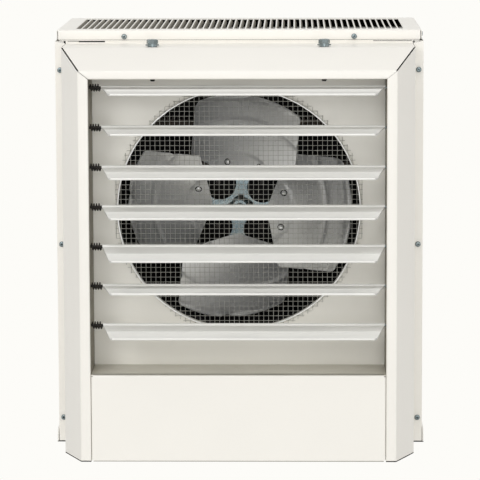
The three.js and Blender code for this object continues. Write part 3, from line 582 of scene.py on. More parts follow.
class HEATER_OT_cover(Operator):
    """Slotted top cover with a folded lip on each side"""

    bl_idname = "heater.cover"
    bl_label = "Top cover"

    def execute(self, context):
        half, depth, drop, room = 237.5, 121.0, 14.0, 2.2
        width, pitch, count = size("slot_width") / 2, size("slot_pitch"), size("slot_count")
        reach = 98.0 - width
        rows = [(i - (count - 1) / 2) * pitch for i in range(count)]
        slots = [arc((x, reach), width, 0, 180, 6) + arc((x, -reach), width, 180, 360, 6) for x in rows]
        edge = size("sheet") + size("bend") + 0.4
        rim = [(-half + edge, -depth + edge), (half - edge, -depth + edge),
               (half - edge, depth - edge), (-half + edge, depth - edge)]
        plate = pierced(rim, slots, "Z", -size("sheet"), 0.0)

        def lip(axis, out, end):
            way = 1 if axis == "X" else -1
            path = [(-way * (out - edge), 0), (-way * out, 0), (-way * out, -drop)]
            made = folded(path, 1 if axis == "X" else -1, axis, -end + room, end - room)
            softened(made, lambda e: all(
                v.co.z < 0.01 - drop and abs(v.co[0 if axis == "X" else 1]) > end - room - 0.01
                for v in e.verts), 3.0, 4)
            return shaped(made, lambda p: Vector((
                max(-half, min(half, p.x)), max(-depth, min(depth, p.y)), p.z)))

        hook = ((-0.5, -0.5), (0.3, -0.4), (1.0, -1.3), (2.4, -5.2), (1.5, -5.4), (0.1, -1.6))
        flaps = [painted(slab([(x - width + a, b) for a, b in hook], "Y", -reach, reach), 2) for x in rows]
        front, right = lip("X", depth, half), lip("Y", half, depth)
        back, left = placed(front.copy(), rotated(180, "Z")), placed(right.copy(), rotated(180, "Z"))
        # Painted shade: the flaps take the dark recess colour, and the plate's underside and the lips' inner
        # faces take the dark enamel.
        piece("top_cover_sheet", [plate, front, back, left, right, *flaps], ["almond", ENAMEL_AND_PAINTED_SHADE, "recess_wall"],
              "cabinet", ["top_cover"],
              inside=lambda at, n: (n.z < -0.3 and abs(at.x) < 234 and abs(at.y) < 117) or (
                  at.z < -2.5 and n.y * at.y < -50 and abs(at.y) < 120.5))
        return {"FINISHED"}


class HEATER_OT_sides(Operator):
    """Side panels with their flanges and the upstand for the cover"""

    bl_idname = "heater.sides"
    bl_label = "Side panels"

    def execute(self, context):
        sheet = size("sheet")
        front, back, top, bottom = BODY_FRONT + sheet + GAP, 120.7, BODY_TOP, BODY_BOTTOM + sheet + GAP
        inner = BODY_HALF - 6.0
        for name, side in (("left_side_panel", -1), ("right_side_panel", 1)):
            wall = folded([(BODY_HALF - 11.5, front), (BODY_HALF, front), (BODY_HALF, back),
                           (BODY_HALF - 11.5, back)], 1, "Z", bottom, top)
            cleat = folded([(BODY_HALF - 0.6, top), (inner, top), (inner, -3.0)], 1, "Y", front + 3, back - 3)
            parts = [wall, cleat]
            if side < 0:
                parts = [other_hand(part) for part in parts]
            # Painted shade: the walls' inner faces take the dark enamel.
            piece(name + "_sheet", parts, ["almond", ENAMEL_AND_PAINTED_SHADE], "cabinet", [name],
                  inside=lambda at, n, s=side: n.x * s < -0.5 and at.z < top - 2)
        return {"FINISHED"}


class HEATER_OT_pan(Operator):
    """Bottom pan with a skirt at each side, and the plain rear panel"""

    bl_idname = "heater.pan"
    bl_label = "Bottom pan and rear panel"

    def execute(self, context):
        sheet, half, back = size("sheet"), 241.8, BACK_Y
        edge, notch = BODY_FRONT - GAP, FACE_Y + 16
        right = [(OPENING, notch), (OPENING, FACE_Y), (FLAT, FACE_Y), (HOUSING, BEVEL_Y), (HOUSING, edge),
                 (half, edge), (half, back)]
        plate = slab(right + [(-x, y) for x, y in reversed(right)], "Z", BODY_BOTTOM, BODY_BOTTOM + sheet)
        # The plate is cut just behind the outlet plate, so that the painted shade below falls only on the
        # part behind it.
        cut(plate, (0, RECESS_BACK + 0.6, 0), (0, 1, 0))
        outline = [(edge, BODY_BOTTOM), (back, BODY_BOTTOM), (back, BODY_BOTTOM + 18),
                   (edge + 9, BODY_BOTTOM + 18), (edge, BODY_BOTTOM + 12)]
        skirt = slab(outline, "X", half - 1.5, half, [0, 0, 2.0, 2.0, 1.5])
        softened(skirt, lambda e: all(v.co.x > half - 0.01 for v in e.verts), 0.4, 2)
        # Painted shade: the plate's upper face behind the outlet plate takes the dark enamel, and so do its
        # front edges beside the opening, as a dark line under the housing.
        piece("bottom_pan_sheet", [plate, other_hand(skirt.copy()), skirt], ["almond", ENAMEL_AND_PAINTED_SHADE], "cabinet",
              ["bottom_pan"], inside=lambda at, n: (n.z > 0.5 and abs(at.x) < 225 and at.y > -160) or (
                  n.y < -0.2 and at.z < -543.7 and abs(at.x) > OPENING))
        x, z = BODY_HALF - GAP, (BODY_BOTTOM + sheet + GAP, BODY_TOP)
        rear = block((-x, x), (back - sheet, back), z)
        back_face = [f for f in rear.faces if f.normal.y > 0.5]
        front_face = [f for f in rear.faces if f.normal.y < -0.5]
        for faces, depth in ((back_face, -0.7), (front_face, 0.7)):
            bmesh.ops.inset_region(rear, faces=faces, thickness=14.0, depth=0.0)
            bmesh.ops.inset_region(rear, faces=faces, thickness=1.4, depth=depth)
        # Painted shade: the rear panel's inner face takes the dark enamel.
        piece("rear_panel_sheet", [rear], ["almond", ENAMEL_AND_PAINTED_SHADE], "cabinet", ["rear_panel"],
              crease=0.2, inside=lambda at, n: n.y < -0.5)
        return {"FINISHED"}


def mitre_height(x):
    """How high a side piece of the housing reaches at a distance from the middle."""
    return min(BODY_TOP - GAP, between(MITRE, abs(x)))


class HEATER_OT_housing(Operator):
    """Bevelled front housing in three folded pieces, mitred at the top corners"""

    bl_idname = "heater.housing"
    bl_label = "Front housing"

    def execute(self, context):
        sheet = size("sheet")
        top, bottom = BODY_TOP - GAP, BODY_BOTTOM + sheet + GAP
        path = [(-BODY_HALF, BODY_FRONT), (-HOUSING, BODY_FRONT), (-HOUSING, BEVEL_Y), (-FLAT, FACE_Y),
                (-OPENING, FACE_Y), (-OPENING, RECESS_BACK - 2.2)]
        for name, side in (("frame_left", -1), ("frame_right", 1)):
            made = folded(path, 1, "Z", bottom, top)
            shaped(made, lambda p: Vector((p.x, p.y, mitre_height(p.x))) if p.z > top - 0.01 else p)
            if side > 0:
                other_hand(made)

            # Painted shade: the opening's walls take the dark recess colour, and the hidden inner faces of
            # the housing take the dark enamel.
            def within(at, n, s=side):
                if abs(at.x) < OPENING + 0.1 and at.y > FACE_Y + 4:
                    return 1
                hidden = n.y > 0.3 or (n.x * s < -0.5 and abs(at.x) > OPENING + 4) or (
                    n.x * s > 0.5 and abs(at.x) < FLAT and at.y > FACE_Y + 1)
                return 2 if hidden and at.y < BODY_FRONT + 3 else 0

            piece(name + "_sheet", [made], ["almond", "recess_wall", ENAMEL_AND_PAINTED_SHADE], "cabinet", [name], inside=within)
        gap = size("mitre_gap")
        upstand = -119.5
        path = [(RECESS_BACK - GAP, LIP_Z), (FACE_Y, LIP_Z), (FACE_Y, FLAT_Z), (BEVEL_Y, BEVEL_Z),
                (upstand, BEVEL_Z), (upstand, -3.0)]
        made = folded(path, -1, "X", -1, 1)
        line = [(z, x) for x, z in MITRE]

        def to_mitre(p):
            open_by = gap if FLAT_Z + 0.2 < p.z < BEVEL_Z - 0.1 else (0.7 if p.z < -43 and p.x < 0 else 0.2)
            reach = min(HOUSING - GAP, between(line, p.z - GAP) - open_by)
            return Vector((copysign(reach, p.x), p.y, p.z))

        # Painted shade: the opening's ceiling takes the dark recess colour, and the inner faces take the dark
        # enamel.
        def under(at, n):
            if at.z < LIP_Z + 0.5 and at.y > FACE_Y + 4:
                return 1
            return 2 if n.y > 0.3 or (n.z < -0.3 and at.z > -50) or (n.z > 0.5 and at.z < -50) else 0

        # Painted shadow: thin dark strips on the upstand stand for the shadow in the gap under the cover's
        # lip.
        gap_shadow_strips = [painted(block(x, (upstand - 0.25, upstand + 0.2), (low, -13.6)), 2)
                 for x, low in (((-208.5, -174.5), -15.8), ((-223, -208.5), -14.8), ((174, 224), -14.8))]
        piece("frame_top_sheet", [shaped(made, to_mitre), *gap_shadow_strips], ["almond", "recess_wall", ENAMEL_AND_PAINTED_SHADE],
              "cabinet", ["frame_top"], inside=under)
        return {"FINISHED"}


class HEATER_OT_recess(Operator):
    """Plate with the flared round outlet, and the shelf under the louvres"""

    bl_idname = "heater.recess"
    bl_label = "Outlet plate and shelf"

    def execute(self, context):
        sheet, half, flare = size("sheet"), HOUSING - 1.5, 4.0
        low, high = BODY_BOTTOM + sheet + 2 * GAP, BEVEL_Z - sheet - GAP
        outer = [(-half, low), (half, low), (half, high), (-half, high)]
        rings = 96
        hole = arc((0, OUTLET_Z), OUTLET_RADIUS + flare, 0, 360, rings)[:-1]
        plate = pierced(outer, [hole], "Y", RECESS_BACK, RECESS_BACK + sheet)
        centre = (OUTLET_RADIUS + flare, RECESS_BACK + flare)
        mouth = arc(centre, flare, -90, -180, 6)
        behind = arc(centre, flare - sheet, -180, -90, 4)
        profile = mouth + [(OUTLET_RADIUS, -140.0), (OUTLET_RADIUS + sheet, -140.0)] + behind + [mouth[0]]
        collar = turned(profile, "Y", rings, (0, 0, OUTLET_Z))
        # Painted shade: the plate's back and the collar's throat take the dark enamel.
        piece("orifice_panel_sheet", [plate, collar], ["almond_inside", ENAMEL_AND_PAINTED_SHADE], "cabinet", ["orifice_panel"],
              inside=lambda at, n: n.y > 0.5 or (at.y > -158 and hypot(at.x, at.z - OUTLET_Z) < 158))
        x, y = OPENING - GAP, (FACE_Y + sheet + GAP, RECESS_BACK - GAP)
        shelf = block((-x, x), y, (RECESS_FLOOR - sheet, RECESS_FLOOR), 0.25)
        # Painted shade: the shelf's upper face takes the darker shelf colour.
        piece("recess_floor_sheet", [shelf], ["almond_inside", "shelf"], "cabinet", ["recess_floor"],
              inside=lambda at, n: n.z > 0.3)
        return {"FINISHED"}


class HEATER_OT_door(Operator):
    """Drop-down door of the wiring compartment, a shallow tray on two pins"""

    bl_idname = "heater.door"
    bl_label = "Access door"

    def execute(self, context):
        half, top, back = 188.0, RECESS_FLOOR, FACE_Y + 13
        edge, room = size("sheet") + size("bend"), 2.2
        plate = block((edge - half, half - edge), (FACE_Y, FACE_Y + size("sheet")),
                      (BODY_BOTTOM + edge, top - edge))

        def lip(axis, outs, low, high, side):
            path = [(FACE_Y, outs - edge * side), (FACE_Y, outs), (back, outs)]
            if axis == "Z":
                path = [(b, a) for a, b in path]
            return folded(path, -side if axis == "X" else side, axis, low, high)

        upper = lip("X", top, room - half, half - room, 1)
        lower = lip("X", BODY_BOTTOM, room - half, half - room, -1)
        right = lip("Z", half, BODY_BOTTOM + room, top - room, 1)
        hinge_y, hinge_z = -236, -539
        right_pin = painted(placed(pin(187, 1.8), moved(0, hinge_y, hinge_z)), 2)
        parts = [plate, upper, lower]
        for made in (right, right_pin):
            parts += [made, other_hand(made.copy())]
        # Painted shade: the lower part of the bottom fold takes the dark recess colour, as a dark line along
        # the door's foot.
        piece("access_door_sheet", parts, ["almond", "recess_wall", "zinc"], "door", ["access_door"],
              inside=lambda at, n: n.z < -0.35 and at.z < BODY_BOTTOM + 1.5 and at.y < FACE_Y + 3)
        return {"FINISHED"}


# ---------------------------------------------------------------- outlet


class HEATER_OT_guard(Operator):
    """Woven wire net, cut round, and the wire hoop over it"""

    bl_idname = "heater.guard"
    bl_label = "Wire guard"

    def execute(self, context):
        radius, pitch = size("net_wire") / 2, size("net_pitch")
        y = (-167.8 + RECESS_BACK - GAP) / 2
        count = int(168 // pitch)

        def reach(at, way):
            """How far a wire runs to one side: the net is cut round by hand, with four short flats."""
            corner = 158.0 if way < 0 and at < 0 else 162.5
            return min(159.8, sqrt(max(0.0, 163.2 ** 2 - at ** 2)), corner * sqrt(2) - abs(at))

        crests = [(0.0, radius * cos(pi * i / 2), i * pitch / 2)
                  for i in range(-2 * count - 2, 2 * count + 3)]
        long = tube(crests, radius, 4)
        parts = []
        for i in range(-count, count + 1):
            for upright in (True, False):
                wire = long.copy()
                if (i % 2 == 0) == upright:
                    bmesh.ops.scale(wire, vec=(1, -1, 1), verts=wire.verts[:])
                for way in (1, -1):
                    cut(wire, (0, 0, way * reach(i * pitch, way)), (0, 0, way), clear=True)
                if not upright:
                    placed(wire, rotated(90, "Y"))
                offset = (i * pitch, y, OUTLET_Z) if upright else (0, y, OUTLET_Z + i * pitch)
                parts.append(outwards(placed(wire, moved(*offset))))
        long.free()
        piece("mesh_guard_net", parts, ["galvanised"], "cabinet", ["mesh_guard"], crease=60)
        # Painted highlight: the galvanised hoop takes the bright sheet aluminium, so that it shows as a
        # bright line round the outlet.
        hoop = painted(turned(arc((156.9, -169.3), 1.15, 0, 360, 10), "Y", 120, (0, 0, OUTLET_Z)), 2)
        clips = [painted(block((-6, 6), (-170.6, -166.2), (OUTLET_Z + z - 2.5, OUTLET_Z + z + 2.5), 0.6), 1)
                 for z in (-158.3, 156.0)]
        piece("guard_rim_hoop", [hoop, *clips], ["galvanised", "black_steel", "aluminium"], "cabinet",
              ["guard_rim"], crease=60)
        return {"FINISHED"}


def louver_section():
    """Outline of a louvre about its pivot, (y, z): a rolled tube, a web and a folded lip with a bead."""
    web, lip, fold, half, roll, bead = 24.0, 19.85, radians(9), 0.8, 2.8, 0.9

    def on_lip(distance, offset):
        return (-distance * cos(fold) - offset * sin(fold) - web,
                -distance * sin(fold) + offset * cos(fold))

    rolled = arc((0, 0), roll, 163, -163, 20)
    under = [(-web + 1.2, -half), (-web, -half - 0.5), on_lip(1.2, -half), on_lip(lip - 2 * bead, -half)]
    edge = [on_lip(lip - bead + bead * cos(a), bead * 0.35 + (half + 0.65 * bead) * sin(a))
            for a in [radians(d) for d in range(-90, 91, 20)]]
    above = [on_lip(lip - 2.6 * bead, half + 0.35), on_lip(2.2, half + 0.35), on_lip(1.2, half + 0.75),
             on_lip(0.2, half + 0.35), (-web + 0.9, half - 0.2), (-web + 2.0, half)]
    return rolled + under + edge + above


def louver_places():
    """Number and place of each louvre at its own tilt."""
    for i, tilt in enumerate(LOUVER_TILTS):
        yield i + 1, moved(0, LOUVER_Y, LOUVER_TOP - i * LOUVER_PITCH) @ rotated(tilt, "X")


class HEATER_OT_louvers(Operator):
    """Extruded louvres on their pins, each at its own tilt"""

    bl_idname = "heater.louvers"
    bl_label = "Louvres"

    def execute(self, context):
        middle = (LOUVER_LEFT + LOUVER_RIGHT) / 2
        blade = slab(louver_section(), "X", middle - 1, middle + 1)

        def to_ends(p):
            back = between(LOUVER_ENDS, p.y)
            return Vector((LOUVER_LEFT + back if p.x < middle else LOUVER_RIGHT - back, p.y, p.z))

        shaped(blade, to_ends)
        outwards(blade)
        left, right = other_hand(pin(-LOUVER_LEFT - 1, 1.9)), pin(LOUVER_RIGHT - 1, 1.9)
        for number, at in louver_places():
            # Painted shade: the left pin takes the black steel and the right pin zinc, though the two are
            # alike.
            parts = [placed(blade.copy(), at), painted(placed(left.copy(), at), 2),
                     painted(placed(right.copy(), at), 1)]
            piece(f"louver_{number}_extrusion", parts, ["louver_aluminium", "zinc", "black_steel"],
                  f"louver_{number}_body", [f"louver_{number}"], crease=24)
        for part in (blade, left, right):
            part.free()
        return {"FINISHED"}


class HEATER_OT_springs(Operator):
    """Coil springs at the louvres' left ends"""

    bl_idname = "heater.springs"
    bl_label = "Louvre springs"

    def execute(self, context):
        wire, radius, turns, per_turn = size("spring_wire") / 2, 4.2, 4, 20
        start, end = -OPENING + GAP, LOUVER_LEFT - GAP
        lead = wire * 1.1
        coil = bmesh.new()
        at = Matrix.LocRotScale((start + lead, radius, 0), Matrix.Rotation(radians(4), 3, "Y"), None)
        ring = bmesh.ops.create_circle(coil, cap_ends=True, radius=wire, segments=10, matrix=at)["verts"]
        steps = turns * per_turn
        rise = (end - start - 2 * lead) / steps
        bmesh.ops.spin(coil, geom=ring + coil.edges[:] + coil.faces[:], cent=(0, 0, 0), axis=(1, 0, 0),
                       dvec=(rise, 0, 0), angle=turns * 2 * pi, steps=steps, use_merge=False,
                       use_duplicate=False)
        outwards(coil)
        for number, at in louver_places():
            piece(f"louver_spring_{number}_coil", [placed(coil.copy(), at)], ["black_steel"],
                  f"louver_{number}_body", [f"louver_spring_{number}"], crease=60)
        coil.free()
        return {"FINISHED"}


# ---------------------------------------------------------------- fan and motor


def blade_half(r):
    """Half the width of a blade: its root is a shallow V, its sides are straight and its tip is round."""
    past = min(1.0, max(0.0, (r - 122) / 10))
    side = 82.5 - 10 * (1 - sqrt(1 - past ** 2))
    root = min(1.0, max(0.0, (62 - r) / 10))
    tip = sqrt(146 ** 2 - r ** 2) / cos(radians(FAN_TWIST))
    return min((r - 35) / 0.27, side, 82.5 - 10 * (1 - sqrt(1 - root ** 2)), tip)


def fan_place(turn):
    """The fan's place, turned about its shaft."""
    return moved(0, FAN_Y, FAN_Z) @ rotated(turn, "Y")


class HEATER_OT_blades(Operator):
    """Cambered fan blades with a pressed boss round each rivet, and the rivets"""

    bl_idname = "heater.blades"
    bl_label = "Fan blades"

    def execute(self, context):
        sheet, rows = 1.4, 88
        blade = bmesh.new()
        bmesh.ops.create_grid(blade, x_segments=rows, y_segments=rows, size=1.0)
        twist = radians(FAN_TWIST)

        def on_blade(along, r):
            """A point of the blade: a round seat at the root, a pressed rib and a rolled-back tip."""
            s = along * blade_half(r)
            out = hypot(r, s * cos(twist))
            raised = -2.4 * ramp(hypot(r - 25, 0.85 * s), 43, 47)
            raised -= 2.0 * exp(-((out - 114) / 2.8) ** 2)
            bowl = 7 * ramp(r, 66, 120) * (1 - along ** 2) + 2.5 * ramp(out, 137, 146)
            lift = -sheet - GAP + raised + bowl
            return Vector((s * cos(twist) - lift * sin(twist),
                           s * sin(twist) + lift * cos(twist), r))

        shaped(blade, lambda p: on_blade(p.x, 91 + 54.5 * sin(pi / 2 * p.y)))
        blade.normal_update()
        faces = blade.faces[:]
        if sum(f.normal.y for f in faces) > 0:
            bmesh.ops.reverse_faces(blade, faces=faces)
        bmesh.ops.solidify(blade, geom=faces, thickness=sheet)
        outwards(blade)
        for i in range(BLADES):
            at = fan_place(FAN_TURN + 90 * i)
            piece(f"fan_blade_{i + 1}_sheet", [placed(blade.copy(), at)], ["aluminium"], "fan",
                  [f"fan_blade_{i + 1}"], crease=50)
        blade.free()
        head, rivet_side, rivet_out = size("rivet"), 25.0, 56.0
        dome = turned([(0, -2.0), (head * 0.45, -1.8), (head * 0.8, -1.1), (head, 0), (head, 0.3), (0, 0.3)],
                      "Y", 20)
        # Painted shadow: a thin dark ring under each rivet head.
        painted_shadow_ring = turned([(0, -0.25), (head + 1.2, -0.25), (head + 1.2, 0.3), (0, 0.3)], "Y", 20)
        painted(painted_shadow_ring, 1)
        rivets = []
        for i in range(BLADES):
            for side in (-1, 1):
                at = on_blade(side * rivet_side / blade_half(rivet_out), rivet_out)
                seat = moved(*at) @ rotated(FAN_TWIST, "Z")
                for part in (dome, painted_shadow_ring):
                    rivets.append(placed(part.copy(), fan_place(FAN_TURN + 90 * i) @ seat))
        dome.free()
        painted_shadow_ring.free()
        piece("fan_rivets", rivets, ["aluminium", ENAMEL_AND_PAINTED_SHADE], "fan")
        return {"FINISHED"}


class HEATER_OT_hub(Operator):
    """Four-armed spider with turned-up edges, its boss with a set screw, and the shaft"""

    bl_idname = "heater.hub"
    bl_label = "Fan spider and shaft"

    def execute(self, context):
        sheet, foot, reach = 2.4, 29.0, 68.0
        outline = []
        for i in range(BLADES):
            turn = Matrix.Rotation(radians(-90 * i), 2)
            end = arc((5 - foot, reach - 5), 5, 180, 90, 3) + arc((foot - 5, reach - 5), 5, 90, 0, 3)
            outline += [tuple(turn @ Vector(p)) for p in end + arc((26.2, 26.2), 18.15, 97, 353, 22)]
        plate = bmesh.new()
        face = plate.faces.new([plate.verts.new((x, 0.3, z)) for x, z in outline])
        if face.normal.y > 0:
            face.normal_flip()
        rim = set(plate.verts)
        bmesh.ops.inset_region(plate, faces=[face], thickness=3.4, depth=0.0, use_even_offset=True)
        inner = [v for v in plate.verts if v not in rim]
        bmesh.ops.translate(plate, verts=inner, vec=(0, 1.6, 0))
        middle = [f for f in plate.faces if all(v not in rim for v in f.verts)]
        # Painted highlight: a narrow strip inside the turned-up edge takes the bright sheet aluminium.
        painted_highlight_strips = bmesh.ops.inset_region(plate, faces=middle, thickness=1.2, depth=0.0,
                                        use_even_offset=True)["faces"]
        for strip in painted_highlight_strips:
            strip.material_index = 2
        plate.normal_update()
        bmesh.ops.solidify(plate, geom=plate.faces[:], thickness=sheet - 1.6)
        outwards(plate)

        def twist_arm(p):
            ways = [Vector((sin(pi / 2 * i), cos(pi / 2 * i))) for i in range(BLADES)]
            here = Vector((p.x, p.z))
            out = max(ways, key=here.dot)
            across = Vector((out.y, -out.x))
            r, side, level = here.dot(out), here.dot(across), p.y
            angle = radians(FAN_TWIST) * ramp(r, 13.5, 34)
            flat = out * r + across * (side * cos(angle) - level * sin(angle))
            return Vector((flat.x, side * sin(angle) + level * cos(angle), flat.y))

        shaped(plate, twist_arm)
        boss = turned([(6.1, -9.0), (9.6, -9.0), (10.8, -7.8), (11.6, -3.0), (13.2, -1.0), (16.5, 0.3),
                       (18.0, 2.2), (14.0, 2.6), (14.0, 15.0), (13.0, 16.0), (6.1, 16.0), (6.1, -9.0)],
                      "Y", 40)
        screw = turned([(0, 16.2), (3.0, 16.2), (3.4, 15.8), (3.4, 12.0), (0, 12.0)], "Z", 16, (0, -4.6, 0))
        slot = block((-0.5, 0.5), (-7.4, -1.8), (16.0, 16.5))
        seat = fan_place(FAN_TURN)
        parts = [placed(part, seat) for part in (plate, boss)]
        parts += [painted(placed(part, seat), 1) for part in (screw, slot)]
        piece("fan_hub_spider", parts, ["zinc", "black_steel", "aluminium"], "fan", ["fan_hub"], crease=40)
        shaft = turned([(0, -12.7), (1.2, -12.4), (1.2, -13), (4.9, -13), (5.7, -12.2), (5.7, 55), (0, 55)],
                       "Y", 32, (0, FAN_Y, FAN_Z))
        shaped(shaft, lambda p: Vector((p.x, p.y, min(p.z, FAN_Z + 4.6))) if p.y < FAN_Y + 15 else p)
        piece("motor_shaft_bar", [shaft], ["zinc"], "fan", ["motor_shaft"])
        return {"FINISHED"}


class HEATER_OT_motor(Operator):
    """Motor shell with its two end bells, on a bridge across the cabinet"""

    bl_idname = "heater.motor"
    bl_label = "Motor and bridge"

    def execute(self, context):
        centre = (0, FAN_Y, FAN_Z)
        profile = [(0, 33), (50, 33), (52, 33), (54.2, 34)]
        for i in range(9):
            at = 43 + i * 6.8
            profile += [(55, at), (55, at + 5.2), (54.2, at + 5.6), (54.2, at + 6.4)]
        profile += [(54.2, 107), (52, 109), (0, 109)]
        shell = turned(profile, "Y", 64, centre)
        piece("motor_housing_shell", [shell], [ENAMEL_AND_PAINTED_SHADE], "cabinet", ["motor_housing"])
        front = turned([(6.5, 32.7), (6.5, 19), (12, 19), (13, 20), (14, 22.4), (15.5, 23), (40, 25.4),
                        (46, 27), (51, 31), (52, 32.7), (6.5, 32.7)], "Y", 64, centre)
        bolts = []
        # Painted shade: the front bell's bolts take the black steel finish.
        for angle in (45, 135, 225, 315):
            x, z = 41 * cos(radians(angle)), 41 * sin(radians(angle))
            bolts.append(painted(turned([(0, 23.4), (3.2, 23.4), (3.6, 23.8), (3.6, 26.4), (0, 26.4)], "Y",
                                        6, (x, FAN_Y, FAN_Z + z)), 1))
        piece("motor_front_bell_casting", [front] + bolts, [ENAMEL_AND_PAINTED_SHADE, "black_steel"], "cabinet",
              ["motor_front_bell"])
        rear = turned([(0, 109.3), (52, 109.3), (50, 111.6), (45, 114), (24, 116.6), (22, 117.1), (0, 117.1)],
                      "Y", 64, centre)
        piece("motor_rear_bell_casting", [rear], [ENAMEL_AND_PAINTED_SHADE], "cabinet", ["motor_rear_bell"])
        end = BODY_HALF - size("sheet") - GAP
        path = [(-end, 36.1), (-end, 16.1), (end, 16.1), (end, 36.1)]
        bridge = folded(path, 1, "Z", FAN_Z - 32, FAN_Z + 32, 3.0, 2.0)
        # Painted shade: the bridge takes the dark enamel, so that the inside behind the fan stays dark.
        piece("motor_bridge_bar", [bridge], [ENAMEL_AND_PAINTED_SHADE], "cabinet", ["motor_bridge"])
        return {"FINISHED"}


# ---------------------------------------------------------------- heating and wiring


class HEATER_OT_elements(Operator):
    """Finned hairpin elements between their racks, with the thermal cutout"""

    bl_idname = "heater.elements"
    bl_label = "Heating elements"

    def execute(self, context):
        y, top, pitch, half, rack, sheath, fin = 62.0, -112.0, 116.0, 29.0, 205.0, 5.5, 12.5
        step = size("fin_pitch")
        finned = rack - 15
        profile = [(0, -rack - 22), (3.0, -rack - 22), (3.0, -rack - 14), (sheath, -rack - 13),
                   (sheath, -finned)]
        for i in range(int(2 * finned // step)):
            at = i * step - finned
            profile += [(sheath, at + 1), (fin, at + 1.2), (fin, at + 1.8), (sheath, at + 2.0)]
        profile += [(sheath, rack + 6), (0, rack + 6)]
        leg = turned(profile, "X", 16)
        bend = []
        for side in (-1, 1):
            a, b, c, d = [Vector((rack + x, 0, side * z))
                          for x, z in ((5, half), (20, half), (24, half - 8), (24, 0))]
            curve = [a * (1 - t) ** 3 + b * 3 * t * (1 - t) ** 2 + c * 3 * t * t * (1 - t) + d * t ** 3
                     for t in [k / 10 for k in range(11)]]
            bend += curve if side < 0 else curve[-2::-1]
        hairpin = tube(bend, sheath * 0.96, 16)
        for i in range(3):
            at = moved(0, y, top - i * pitch)
            parts = [placed(leg.copy(), moved(0, 0, s * half), at) for s in (-1, 1)]
            parts.append(placed(hairpin.copy(), at))
            piece(f"heating_element_{i + 1}_fins", parts, ["element_sheath"], "cabinet",
                  [f"heating_element_{i + 1}"], crease=50)
        leg.free()
        hairpin.free()
        end = BODY_HALF - size("sheet") - GAP
        for name, side in (("element_rack_left", -1), ("element_rack_right", 1)):
            made = folded([(rack, 38), (rack, 88), (end, 88)], 1, "Z", -400, -58)
            made = other_hand(made) if side < 0 else made
            piece(name + "_sheet", [made], ["galvanised"], "cabinet", [name])
        cutout = turned([(0, 0), (11.6, 0), (12, 0.4), (12, 1.8), (8.7, 2.2), (8.5, 3), (8.5, 10.4),
                         (7.9, 11), (0, 11)], "X", 32, (1.5 - rack, y, top - pitch / 2))
        piece("thermal_cutout_body", [cutout], ["black_plastic"], "cabinet", ["thermal_cutout"])
        return {"FINISHED"}


def clamp_screw(centre, radius=3.4):
    """A slotted clamp screw that faces the front."""
    x, y, z = centre
    head = turned([(0, -1.8), (radius - 0.6, -1.8), (radius, -1.2), (radius, 0), (0, 0)], "Y", 20, centre)
    # Painted shade: a thin black strip on the head stands for its slot.
    slot = block((x - radius + 0.5, x + radius - 0.5), (y - 2.0, y - 1.7), (z - 0.45, z + 0.45))
    return [painted(head, 1), painted(slot, 2)]


class HEATER_OT_wiring(Operator):
    """Contactor and terminal block in the wiring compartment"""

    bl_idname = "heater.wiring"
    bl_label = "Contactor and terminal block"

    def execute(self, context):
        back = RECESS_BACK - GAP
        x, z = (-150.0, -92.0), (-528.0, -450.0)
        parts = [
            block(x, (back - 8, back), z, 1.0),
            block((x[0] + 3, x[1] - 3), (back - 46, back - 7.4), (z[0] + 6, z[1] - 6), 1.2),
            block((x[0] + 9, x[1] - 9), (back - 56, back - 45.4), (z[0] + 15, z[1] - 15), 1.5),
        ]
        for i in range(3):
            at = x[0] + 12 + i * 17
            for level in (z[0] + 10.5, z[1] - 10.5):
                parts += clamp_screw((at, back - 46, level))
            parts.append(painted(block((at - 5, at + 5), (back - 57, back - 55.6), (-494, -484), 0.4), 0))
        piece("contactor_case", parts, ["black_plastic", "zinc", "black_steel"], "cabinet", ["contactor"])
        x, z, ways = (-48.0, 52.0), (-506.0, -472.0), 5
        parts = [block(x, (back - 12, back), z, 0.8)]
        step = (x[1] - x[0] - 3) / ways
        for i in range(ways + 1):
            parts.append(block((x[0] + i * step, x[0] + i * step + 3), (back - 22, back - 11.4),
                               (z[0] + 2, z[1] - 2), 0.5))
        for i in range(ways):
            middle = x[0] + 1.5 + (i + 0.5) * step
            strip = block((middle - 5, middle + 5), (back - 13, back - 12), (z[0] + 3, z[1] - 3), 0.3)
            parts.append(painted(strip, 1))
            for level in (z[0] + 9, z[1] - 9):
                parts += clamp_screw((middle, back - 13, level))
        piece("terminal_block_case", parts, ["pale_plastic", "zinc", "black_steel"], "cabinet",
              ["terminal_block"])
        return {"FINISHED"}


